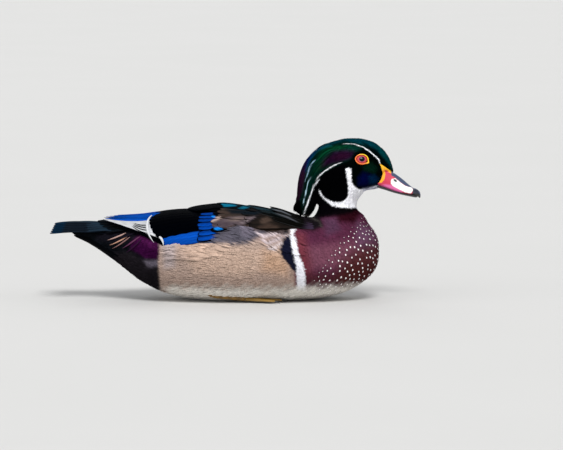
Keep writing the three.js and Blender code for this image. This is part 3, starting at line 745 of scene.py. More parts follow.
@dataclass(frozen=True)
class Mark:
    """One marking: a closed patch, or a stroke where widths are given.

    code is its display colour, soft the width of its edge, and path its corners as "column,row" pairs.
    """

    code: str
    gloss: float
    soft: float
    path: str
    widths: tuple[float, ...] = ()
    strength: float = 1.0

    def lay(self, places: Array, tint: Array) -> None:
        """Paints the marking over the tints of places.

        Args:
            places: places on the drawing.
            tint: their tints, four columns, which are changed.
        """
        path = np.array([pair.split(",") for pair in self.path.split()], float)
        reach = self.soft + (max(self.widths) if self.widths else 0)
        low, high = path.min(axis=0) - reach, path.max(axis=0) + reach
        near = np.nonzero(((places > low) & (places < high)).all(axis=1))[0]
        if not len(near):
            return
        gap, share, inside = gaps_to(path, places[near], not self.widths)
        if self.widths:
            half = np.interp(share, np.linspace(0, 1, len(self.widths)), self.widths) / 2
            over = half - gap
        else:
            over = np.where(inside, gap, -gap)
        cover = eased(-self.soft / 2, self.soft / 2, over) * self.strength
        tint[near] += (glossed(self.code, self.gloss) - tint[near]) * cover[:, None]


BODY_MARKS = (
    # tail, rump and vent
    Mark("0d1014", 0.2, 6, "30,205 118,205 150,212 168,300 30,300"),
    Mark("11151c", 0, 5, "76,235 100,243 125,268 130,300 40,300 40,236"),
    Mark("14131a", 0.1, 7, "94,224 128,224 140,232 128,244 98,240"),
    Mark("330a32", 0.25, 4,
         "132,243 142,234 150,235 157,240 166,243 166,256 158,259 147,258 140,253 132,249"),
    Mark("4a1545", 0.25, 5, "138,239 144,235 152,237 159,243 160,250 150,246"),
    Mark("1c191d", 0, 6, "112,252 132,251 144,258 166,261 166,300 118,300"),
    Mark("8d8494", 0, 5, "146,260.5 160,259.5 162,265 150,266.5", strength=0.45),
    # flank
    Mark("b69e91", 0, 3, "162,243 200,244 215,243 232,238 262,232 292,226 300,310 163,310 160,262"),
    Mark("c8ac9a", 0, 14, "184,250 226,246 262,250 268,264 250,276 196,272"),
    Mark("bcacaa", 0, 8, "164,246 178,247 176,266 166,268"),
    Mark("c6a288", 0, 14, "264,250 280,253 290,264 286,274 262,270"),
    Mark("57545f", 0, 5, "196,240 206,231 222,222 262,216 288,222 289,234 262,240 246,244 222,246 203,246"),
    # painted shade: dusky grey-blue below the wing's blue panel
    Mark("5d6076", 0.05, 5, "198,236 214,234 217,243 205,247", strength=0.8),
    Mark("6e6875", 0, 5, "240,228 252,229 256,236 248,240 242,238"),
    Mark("2a2320", 0, 4, "252,216 272,215 289,222 288,233 272,234 258,231"),
    Mark("a48e88", 0, 5, "256,241 264,245 276,247 286,242 284,238 270,238"),
    Mark("594c4c", 0, 3, "252,228 266,230 284,228 284,235 266,236 254,235"),
    Mark("d4c4c8", 0, 1.6, "256,236.4 264,240 275,238.6 289,235.4", (1, 2.2, 2.4, 1.6)),
    Mark("ccbcbf", 0, 1.6, "262,242 268,245.6 278,242.6 285,239.4", (1, 2.2, 2, 1)),
    Mark("e0d2d4", 0, 2, "269,248.4 276,249 281,245.6", (1.4, 2.6, 1.4)),
    # breast
    Mark("55283f", 0.08, 3,
         "291,224 300,227 312,230 322,226 318,214 330,210 360,206 396,235 396,320 298,320"),
    # painted sheen: lighter pinkish-violet patches low on the breast and at its front
    Mark("744557", 0.05, 14, "300,248 330,244 362,240 376,246 378,264 306,270"),
    Mark("66445c", 0.05, 10, "356,222 372,228 380,244 370,254 356,246"),
    Mark("55354c", 0.05, 8, "322,218 336,218 340,230 326,236"),
    Mark("70343f", 0.05, 13, "293,230 304,234 310,262 310,300 298,300"),
    Mark("4f2730", 0.05, 12, "340,272 356,266 394,262 394,320 300,320 300,274"),
    Mark("4c2420", 0.05, 18, "340,262 352,252 366,245 394,240 394,320 330,320", strength=0.85),
    # painted shade: the top of the breast, under the neck, is painted darker
    Mark("2a0a14", 0.05, 7, "334,209 358,208.6 360,214 354,224 338,222"),
    # mantle over the breast's rear
    Mark("191519", 0.05, 7, "284,200 301,205 309,214 320,219 322,226 314,231 304,229 294,226 284,225"),
    # painted highlights: grey streaks of sheen on the dark mantle feathers
    Mark("4a4642", 0, 2.5, "300,211 309,217 319,222 322,229", (1, 1.6, 1.2, 0.6)),
    Mark("4d424a", 0, 2.5, "318,213.5 325,212.5 332,214.5", (1, 1.6, 0.6)),
    Mark("0a0609", 0, 5, "306,200 330,204 352,206.5 357,209 352,213 338,216 318,219"),
    # the upright black and white bands
    Mark("15172a", 0, 1.2,
         "288.8,236.6 290.3,243 292,250 294,257.5 296,265 297,273 292,269 288.5,264 284.5,259.4 281.4,254.8 "
         "280.4,251 281.4,247.4 283.6,243.2 286,239.6"),
    Mark("f8f8ff", 0, 0.6,
         "290.2,224.8 292,225.8 294.6,229 293.6,233 293.8,239 295.6,246 298,253 300.6,260 304,268 308,320 "
         "299,320 295.6,264 293.6,257 291.4,248.6 289.2,240 288.8,238 290.4,236 289.9,229"),
)
WING_MARKS = (
    # painted highlights: teal flashes of sheen along the back's top edge
    Mark("0a7292", 0.3, 1, "217.4,206.6 222,203 236,202.4 239,204.8 234,206.4 224,207"),
    Mark("0c6680", 0.3, 1, "238.6,208.8 243,206.4 249,205 251,206.2 247,208.2 242,209.2"),
    Mark("1c333c", 0.1, 1.6, "250,206.4 262,207.4 278,209.6 272,211 258,209.4"),
    Mark("0c161d", 0.1, 4, "225,209 245,210 262,212 256,215 232,214"),
    Mark("52474b", 0, 1.6,
         "211.5,226 213,222.5 222,219.3 230,217 240,216.2 248,216.6 257.5,215.8 252,220.4 245,225 240,226.4 "
         "236,225 226,227.2 216,227.4"),
    Mark("6b5c58", 0, 3, "234,217.4 246,217.4 240,221 228,221"),
    Mark("443a40", 0, 3, "212,223.4 222,221.4 236,223.4 226,226.6 214,226.8"),
    Mark("0b0b0f", 0, 0.8, "235,224 240,226.4 246,224.6 252,220.4 258,215.8", (0.6, 1, 1.1, 0.9, 0.4)),
    Mark("7c7072", 0, 1, "240.6,224.4 247,220.8 254,216.8", (0.5, 1, 0.5)),
    Mark("a18c84", 0, 1, "211.3,221.8 213,219.2 216.4,217 220.6,216.2 222.4,217.2 220,219.4 214,222"),
    Mark("1680e0", 0.4, 0.8, "211.6,215.6 216,215.9 216.4,217.6 211.6,218"),
    Mark("1480dc", 0.4, 0.8, "214.4,227.6 219,227.2 224.4,227.8 221.6,229.4 216.4,230"),
    Mark("168ca6", 0.4, 1, "219.6,240 221,237 224.4,234.8 228,233.8 226.4,236.6 222.6,240.2"),
    Mark("43362f", 0, 3, "262,218.4 269,216.8 271,221 264,224 260,222.6"),
    Mark("382c26", 0, 4, "258,227 268,223 279,226.4 281,233 270,235 260,232"),
    # painted highlights: grey streaks of sheen on the dark mantle
    Mark("5a5e64", 0, 1.2, "270,209.4 281,211 291,215.4", (0.6, 1.4, 0.6)),
    Mark("505258", 0, 1.4, "276,213.4 287,217 298,222.6", (0.6, 1.5, 0.6)),
    Mark("34293a", 0, 9, "305,204 326,208 330,224 318,232 303,232 309,220"),
    Mark("1b272b", 0.1, 2, "262,211 273,213 283,217.6", (1, 1.8, 0.8)),
)
HEAD_MARKS = (
    Mark("02211b", 0.75, 3, "290,128 400,128 400,188 372,190 340,216 300,218 280,218 290,170"),
    # painted highlights: teal sheen along the top of the crown and at its front
    Mark("023a46", 0.2, 5,
         "312,150 322,142 345,134 372,136 386,146 390,158 380,154 364,145 344,141 322,149"),
    Mark("023a3e", 0.2, 4, "374,146 383,148 391,160 392,168 385,162"),
    Mark("010a0a", 0.6, 4, "362,143 376,150 388,164 393,176 382,166 372,154"),
    Mark("042f1c", 0.6, 4, "316,160 322,150 336,145 350,147 342,150 330,152 320,160 312,176"),
    # painted highlight: blue-teal sheen along the rear top edge of the head
    Mark("063a5c", 0.85, 3, "303,166 307,155 314,146 322,142.5 321,147 314,154 309,163 306,172"),
    Mark("0a1450", 0.8, 3, "297,182 301,168 306,157 310,153 310,158 306,168 303,178"),
    Mark("0c2c18", 0.6, 6, "316,172 320,163 330,156 344,158 330,165"),
    Mark("1e0a22", 0.35, 6, "321,168 324,160 333,152 345,150.8 354,152 353,158 343,161.5 331,165"),
    Mark("240a20", 0.3, 5, "330,158 341,153.4 350,154.4 347,158.6 336,161"),
    Mark("240e22", 0.45, 4, "293,196 298,178 302,168 306,162 305,178 302,192 298,204 292,204"),
    Mark("030304", 0.1, 3, "284,220 292,203 297,199 301,202 302.5,218"),
    # face
    Mark("010504", 0.3, 3, "341,164 350,160 354,153 366,148 379,159 385,172 381,190 352,190 345,172"),
    # painted sheen: green, navy and dark teal sheen on the black face around and below the eye
    Mark("041f15", 0.5, 6, "362,164 371,163 377,168 374,174 364,171"),
    Mark("03083a", 0.6, 7, "358,178 363,173 370,175 371,181 366,186 358,185"),
    Mark("022344", 0.6, 5, "368,177 374,175 378,179 375,184 369,184"),
    Mark("020203", 0.05, 1.5,
         "317,180 324,173.5 333,168 342,164 346.5,168 349,180 350,200 340,206 318,200 314,208 310,217 "
         "305,217 311,194"),
    Mark("060407", 0.05, 2.5, "312,196 330,204 352,207 357.5,207.6 356.5,210.6 340,213.4 318,216"),
    # white chin and collar
    Mark("fafaff", 0, 0.6,
         "344.9,169.8 346,168.6 348,168.2 350.6,169 350.6,174.4 351.2,181.6 353.6,186.4 358.6,189.5 "
         "366.4,188.6 373.8,186.3 377.8,185.4 380,187.6 376,192 370,200 364,208.2 356.8,208.3 349.8,208.3 "
         "340.5,207.7 331.3,205.4 324.3,200 320.2,194.8 318.4,189.8 319.8,190.4 322.2,195.2 326.6,199.3 "
         "333.1,202.1 339.6,202.6 344.9,200.2 347.7,196 348.2,190.1 347,181.8 346,174.4"),
    # painted shadow: bluish-grey over the front of the white chin
    Mark("a4aac8", 0, 3, "362,188.6 370,187 380,185 380,192 366,196", strength=0.6),
    # fine white lines
    Mark("fbfcff", 0, 0.5,
         "379.6,164 378,160 375,156.7 370.1,152.6 363.6,148.2 355.3,145 348,144.1 341,144.7",
         (0.8, 1.3, 1, 0.9, 0.7, 0.45, 0.2, 0)),
    Mark("fbfcff", 0, 0.5,
         "341.4,162.8 335,165.1 328.5,168.8 322.9,172.5 318.8,176.6 315.8,180.2",
         (0.3, 0.9, 1.2, 1.2, 1, 0.5)),
    Mark("f8faff", 0, 0.5,
         "319.4,179.6 316.3,182.4 313.5,186.8 311.2,193.2 308.4,200.6 306.1,207 303.6,216",
         (0.5, 1.1, 1.3, 1.3, 1.4, 1.5, 1.4)),
    Mark("b4dcf6", 0, 0.4,
         "315.4,158.6 311.6,163.6 308.6,169.8 306.7,175.3 305.6,182.5", (0.15, 0.4, 0.6, 0.6, 0.3)),
    Mark("c2e6f6", 0, 0.4,
         "311.7,172.2 309.3,178.4 307.4,185.6 304.8,196.6 303,206", (0.2, 0.5, 0.7, 0.7, 0.4)),
)
BILL_MARKS = (
    Mark("c42c4a", 0, 1, "370,155 430,155 430,215 370,215"),
    Mark("d4609a", 0, 2.5, "384,184.5 391,185 402,191.2 402,194 388,190.6 378,187"),
    Mark("f2a800", 0, 0.8,
         "378,160 384.4,168.6 385,175 383.8,180 381.2,183 378.6,182.8 380.6,179 380.6,172 376,164"),
    Mark("fbb800", 0, 0.8, "377,160 384,163.5 392.4,172.6 390.4,173.4 385.6,170.2 381,170"),
    Mark("34415f", 0, 0.8,
         "390.6,170.4 402,177 412,184.4 424,187 424,200 411,196.4 412.6,192 412.4,188.2 405.3,185.9 "
         "399.5,182 395.6,178.2 391.2,175.6"),
    Mark("faf8f6", 0, 0.8,
         "391.2,179.4 395,178.4 399.4,182.2 405.3,186.3 412,187.7 412.6,190.3 410.4,193.6 405.3,192.6 "
         "397.9,189 392.6,186.2 390.6,183.7 390.6,181"),
    Mark("0b0a0f", 0, 0.8,
         "376,188.2 388,191 402,194.8 411,197 414,194.8 418,195.4 424,199 400,199.4 376,191"),
    Mark("10162a", 0, 1.2, "412.8,189 417,189.4 423,201 417,197 411.4,195"),
    Mark("07070b", 0, 1.2, "412.8,193.6 419,194 423,203 411.4,196.6"),
)


@dataclass(frozen=True)
class Plumage:
    """Gives the colour and iridescence of the plumage at any place on the bird."""

    back: str = "12171a"
    belly: str = "e9e4dc"
    throat: str = "eeeef6"

    def on_head(self, points: Array) -> Array:
        """Tells which points belong to the head and upper neck.

        Args:
            points: places on the bird.

        Returns:
            True or False for each place.
        """
        place = VIEW.place(points)
        lowest = np.interp(place[:, 0], [322, 345], [214.5, 210.4])
        return (place[:, 1] < lowest) & (points[:, 0] > NECK_REAR) & (points[:, 2] > NECK_FOOT)

    def tint(self, points: Array, seed: float = 1.0) -> Array:
        """Colour and iridescence of the plumage.

        Args:
            points: places on the bird.
            seed: shifts the unevenness of the markings' edges.

        Returns:
            Four columns: linear red, green and blue, and iridescence.
        """
        place = VIEW.place(points)
        place = place + 0.35 * np.column_stack([wander(points, 2.3, seed), wander(points, 1.9, seed + 4)])
        tint = np.tile(glossed(self.back, 0.3), (len(points), 1))
        for mark in BODY_MARKS:
            mark.lay(place, tint)
        low = points[:, 2] + 3 * wander(points, 7, seed)
        reach = eased(-96, -80, points[:, 0]) * eased(128, 108, points[:, 0])
        tint += (glossed(self.belly) - tint) * (eased(24, 12, low) * reach)[:, None]
        head = np.nonzero(self.on_head(points))[0]
        part = tint[head]
        for mark in HEAD_MARKS:
            mark.lay(place[head], part)
        under = eased(8, 3, np.abs(points[head, 1])) * eased(112, 118, points[head, 0])
        under *= eased(117, 113, points[head, 2])
        tint[head] = part + (glossed(self.throat) - part) * under[:, None]
        return tint


PLUMAGE = Plumage()


# ---- finishes


class Graph:
    """Adds nodes to one tree and joins them."""

    def __init__(self, tree: bpy.types.NodeTree) -> None:
        """Keeps the tree."""
        self.tree = tree

    def add(self, kind: str, **settings: object) -> bpy.types.Node:
        """Adds a node.

        Args:
            kind: its type.
            settings: the properties to set.

        Returns:
            The node.
        """
        node = self.tree.nodes.new(kind)
        for key, value in settings.items():
            setattr(node, key, value)
        return node

    def feed(self, socket: Socket, value: object) -> None:
        """Links a socket to another, or gives it a constant.

        Args:
            socket: the socket to feed.
            value: another node's output, or the constant.
        """
        if isinstance(value, Socket):
            self.tree.links.new(value, socket)
        else:
            socket.default_value = value

    def fill(self, node: bpy.types.Node, values: dict[str, object]) -> Socket:
        """Feeds a node's inputs by their names.

        Args:
            node: the node.
            values: what feeds each input.

        Returns:
            The node's first output.
        """
        for key, value in values.items():
            self.feed(node.inputs[key], value)
        return node.outputs[0]

    def math(self, operation: str, *values: object) -> Socket:
        """Adds a Math node.

        Args:
            operation: what it does.
            values: what feeds its inputs, in order.

        Returns:
            Its output.
        """
        node = self.add("ShaderNodeMath", operation=operation)
        for socket, value in zip(node.inputs, values):
            self.feed(socket, value)
        return node.outputs[0]

    def times(self, first: object, second: object) -> Socket:
        """Multiplies two values."""
        return self.math("MULTIPLY", first, second)

    def line(self, value: object, factor: object, start: object) -> Socket:
        """Multiplies a value and adds to it."""
        return self.math("MULTIPLY_ADD", value, factor, start)

    def mix(self, share: object, first: object, second: object) -> Socket:
        """Mixes two colours.

        Args:
            share: how much of the second one shows.
            first: colour at share 0.
            second: colour at share 1.

        Returns:
            The mixed colour.
        """
        node = self.add("ShaderNodeMix", data_type="RGBA")
        for number, value in ((0, share), (6, first), (7, second)):
            self.feed(node.inputs[number], value)
        return node.outputs[2]

    def rise(self, value: object, low: object, high: object) -> Socket:
        """Rises smoothly from 0 to 1.

        Args:
            value: the value to map.
            low: where the result is 0.
            high: where it is 1.

        Returns:
            The mapped value.
        """
        node = self.add("ShaderNodeMapRange", interpolation_type="SMOOTHSTEP")
        return self.fill(node, {"Value": value, "From Min": low, "From Max": high})

    def noise(self, vector: object, scale: float, detail: float = 2, rough: float = 0.5) -> Socket:
        """Adds a noise texture.

        Args:
            vector: where it is read.
            scale: how fine it is.
            detail: how many layers it has.
            rough: strength of the finer layers.

        Returns:
            Its value.
        """
        values = {"Vector": vector, "Scale": scale, "Detail": detail, "Roughness": rough}
        return self.fill(self.add("ShaderNodeTexNoise"), values)

    def scaled(self, vector: object, factor: object) -> Socket:
        """Multiplies a colour or vector by one number."""
        node = self.add("ShaderNodeVectorMath", operation="SCALE")
        return self.fill(node, {"Vector": vector, "Scale": factor})

    def bump(self, height: object, strength: float, distance: float) -> Socket:
        """Adds a bump.

        Args:
            height: the relief.
            strength: how much of it shows.
            distance: its depth in metres.

        Returns:
            The bent normal.
        """
        values = {"Strength": strength, "Distance": distance, "Height": height}
        return self.fill(self.add("ShaderNodeBump"), values)

    def where(self) -> Socket:
        """The place on the object."""
        return self.add("ShaderNodeTexCoord").outputs["Object"]

    def painted(self, name: str) -> bpy.types.Node:
        """Reads one of the piece's painted values."""
        return self.add("ShaderNodeAttribute", attribute_name=name)


class Surface(Graph):
    """The nodes of one new material."""

    def __init__(self, name: str) -> None:
        """Makes the material.

        Args:
            name: the material's name.
        """
        self.material = bpy.data.materials.new(name)
        self.material.use_nodes = True
        super().__init__(self.material.node_tree)

    def finished(self, values: dict[str, object]) -> bpy.types.Material:
        """Feeds the shader and gives the material.

        Args:
            values: what feeds each of the shader's sockets; a constant is set on the socket itself.

        Returns:
            The material.
        """
        self.fill(self.tree.nodes["Principled BSDF"], values)
        return self.material


@cache
def barb_group() -> bpy.types.NodeTree:
    """Builds the node group that draws barbs and a shaft on one vane.

    Returns:
        The group; each vane's map runs from 0 to 1, across it in X and along it in Y.
    """
    tree = bpy.data.node_groups.new("vane_barbs", "ShaderNodeTree")
    face = tree.interface
    face.new_socket("Vane", in_out="INPUT", socket_type="NodeSocketVector")
    for name in ("Barbs", "Slant"):
        face.new_socket(name, in_out="INPUT", socket_type="NodeSocketFloat")
    for name in ("Shade", "Height", "Across", "Along"):
        face.new_socket(name, in_out="OUTPUT", socket_type="NodeSocketFloat")
    g = Graph(tree)
    given, result = g.add("NodeGroupInput"), g.add("NodeGroupOutput")
    split = g.add("ShaderNodeSeparateXYZ")
    g.feed(split.inputs[0], given.outputs["Vane"])
    across = g.math("ABSOLUTE", g.line(split.outputs[0], 2.0, -1.0))
    along = split.outputs[1]
    lag = g.times(across, given.outputs["Slant"])
    phase = g.math("SUBTRACT", g.times(along, given.outputs["Barbs"]), lag)
    phase = g.math("ADD", phase, g.times(g.noise(g.where(), 260.0), 1.6))
    slow = g.math("SINE", g.times(phase, 0.9))
    fine = g.line(g.math("SINE", g.times(phase, 2 * math.pi)), 0.5, 0.5)
    shaft = g.rise(across, 0.12, 0.03)
    shade = g.line(g.math("ADD", fine, g.times(slow, 0.4)), 0.7, 0.1)
    height = g.math("ADD", g.times(fine, 0.5), shaft)
    for socket, value in zip(result.inputs, (shade, height, across, along)):
        g.feed(socket, value)
    return tree


@dataclass(frozen=True)
class FeatherFinish:
    """Feathers that take their colour from the piece, with barbs, a shaft, rims, flecks and bars."""

    name: str
    roughness: float
    barbs: float
    slant: float
    grain: float
    relief: float

    def make(self) -> bpy.types.Material:
        """Builds the material.

        Returns:
            The material.
        """
        g = Surface(self.name)
        marks = g.painted("marks")
        split = g.add("ShaderNodeSeparateColor")
        g.feed(split.inputs[0], marks.outputs["Color"])
        rim, fleck, bars = split.outputs
        vane = g.add("ShaderNodeUVMap", uv_map="Vane").outputs[0]
        group = g.add("ShaderNodeGroup", node_tree=barb_group())
        g.fill(group, {"Vane": vane, "Barbs": self.barbs, "Slant": self.slant})
        shade, height, across, along = group.outputs
        tint = g.painted("tint").outputs["Color"]
        base = g.scaled(tint, g.line(shade, self.grain * 2, 1.0 - self.grain))
        # bars across the vane
        ripple = g.line(g.noise(g.where(), 420.0, 1), 3.0, g.times(along, 5.0))
        bar = g.rise(g.math("SINE", g.times(ripple, 2 * math.pi)), 0.1, 0.9)
        base = g.mix(g.times(bar, bars), base, g.scaled(base, 0.35))
        # a round fleck near the tip, on a darker ground
        off_axis = g.math("POWER", g.times(across, 1.35), 2.0)
        off_mid = g.math("POWER", g.math("ABSOLUTE", g.line(along, 7.0, -5.7)), 2.0)
        spot = g.math("SUBTRACT", fleck, g.math("ADD", off_axis, off_mid))
        lit = g.times(g.rise(spot, -0.15, 0.1), g.rise(fleck, 0.02, 0.2))
        dark = g.times(g.rise(along, 0.35, 0.8), g.rise(fleck, 0.02, 0.3))
        base = g.mix(g.times(dark, 0.25), base, (0.03, 0.006, 0.012, 1))
        base = g.mix(lit, base, (0.9, 0.84, 0.84, 1))
        # a rim of another colour
        edge = g.math("MAXIMUM", across, g.line(along, 3.0, -2.0))
        start = g.math("SUBTRACT", 1.0, rim)
        rimmed = g.rise(edge, g.math("SUBTRACT", start, 0.05), g.math("ADD", start, 0.03))
        rimmed = g.times(rimmed, g.rise(rim, 0.01, 0.04))
        plain = g.times(g.math("SUBTRACT", 1.0, rimmed), g.math("SUBTRACT", 1.0, lit))
        return g.finished({
            "Base Color": g.mix(rimmed, base, g.painted("rim").outputs["Color"]),
            "Metallic": g.times(marks.outputs["Alpha"], plain),
            "Roughness": g.line(shade, 0.14, self.roughness - 0.07),
            "Normal": g.bump(height, self.relief, 0.0003),
            "Specular IOR Level": 0.002,
            "Specular Tint": (0.2, 0.24, 0.3, 1),
        })


@dataclass(frozen=True)
class TintedFinish:
    """A hide or horn that takes its colour from the piece, with a fine grain."""

    name: str
    roughness: float
    scale: float
    grain: float
    relief: float
    coat: float = 0.0
    specular: float = 0.5

    def make(self) -> bpy.types.Material:
        """Builds the material.

        Returns:
            The material.
        """
        g = Surface(self.name)
        place = g.where()
        fine = g.noise(place, self.scale, 4, 0.6)
        both = g.math("ADD", g.times(fine, 0.6), g.times(g.noise(place, self.scale * 0.12), 0.6))
        tint = g.painted("tint").outputs["Color"]
        return g.finished({
            "Base Color": g.scaled(tint, g.line(both, self.grain * 2, 1 - self.grain * 1.2)),
            "Roughness": g.line(fine, 0.2, self.roughness - 0.1),
            "Normal": g.bump(fine, self.relief, 0.0002),
            "Coat Weight": self.coat,
            "Coat Roughness": 0.25,
            "Specular IOR Level": self.specular,
        })


@dataclass(frozen=True)
class EyeFinish:
    """A wet eye: pupil, fibrous iris and dark outer ring, drawn on the eyeball's own map."""

    name: str = "eye_wet"
    pupil: float = 0.31
    iris: float = 0.5

    def make(self) -> bpy.types.Material:
        """Builds the material.

        Returns:
            The material.
        """
        g = Surface(self.name)
        split = g.add("ShaderNodeSeparateXYZ")
        g.feed(split.inputs[0], g.add("ShaderNodeUVMap", uv_map="Vane").outputs[0])
        turn, out = g.times(split.outputs[0], 2 * math.pi), split.outputs[1]
        ring = {"X": g.math("SINE", turn), "Y": g.math("COSINE", turn), "Z": g.times(out, 0.6)}
        fibre = g.noise(g.fill(g.add("ShaderNodeCombineXYZ"), ring), 14.0, 3, 0.7)
        iris = g.mix(g.rise(fibre, 0.35, 0.65), (0.42, 0.02, 0.022, 1), (0.66, 0.09, 0.09, 1))
        iris = g.mix(g.rise(out, self.pupil + 0.1, self.pupil), iris, (0.34, 0.09, 0.16, 1))
        iris = g.mix(g.rise(out, self.iris - 0.05, self.iris + 0.03), iris, (0.05, 0.004, 0.003, 1))
        black = g.rise(out, self.pupil + 0.015, self.pupil - 0.015)
        return g.finished({
            "Base Color": g.mix(black, iris, (0.002, 0.002, 0.003, 1)),
            "Roughness": 0.3,
            "Specular IOR Level": 0.02,
            "Coat Weight": 0.3,
            "Coat Roughness": 0.02,
        })


@dataclass(frozen=True)
class FloorFinish:
    """A pale matt studio floor."""

    name: str = "studio_floor"

    def make(self) -> bpy.types.Material:
        """Builds the material.

        Returns:
            The material.
        """
        g = Surface(self.name)
        tone = g.rise(g.noise(g.where(), 3.0, 3), 0.3, 0.7)
        pale = g.mix(tone, (0.60, 0.595, 0.58, 1), (0.606, 0.6, 0.586, 1))
        return g.finished({"Base Color": pale, "Roughness": 0.85})


class Finish(Enum):
    """The finishes of the bird and of the floor."""

    SOFT = FeatherFinish("plumage_soft", 0.8, 7, 2.0, 0.16, 0.15)
    SILKY = FeatherFinish("plumage_silky", 0.45, 6, 1.5, 0.16, 0.15)
    FLIGHT = FeatherFinish("flight_feathers", 0.5, 46, 7.0, 0.14, 0.12)
    SKIN = TintedFinish("under_plumage", 0.8, 900.0, 0.3, 0.3, specular=0.002)
    HORN = TintedFinish("bill_horn", 0.38, 500.0, 0.14, 0.06, 0.25)
    LID = TintedFinish("eye_lid", 0.45, 1400.0, 0.25, 0.35, 0.2)
    SCUTE = TintedFinish("foot_scutes", 0.5, 1100.0, 0.25, 0.35, 0.1)
    EYE = EyeFinish()
    FLOOR = FloorFinish()

    @cache
    def material(self) -> bpy.types.Material:
        """The finish's material, made once."""
        return self.value.make()


# ---- skin


FLANK_UPPER = curve_of([(-97, 64), (-60, 72), (-30, 71), (0, 65), (30, 57), (52, 47), (74, 52), (84, 66)])
FLANK_LOWER = curve_of([(-97, 84), (-60, 108), (0, 112), (50, 106), (84, 88)])


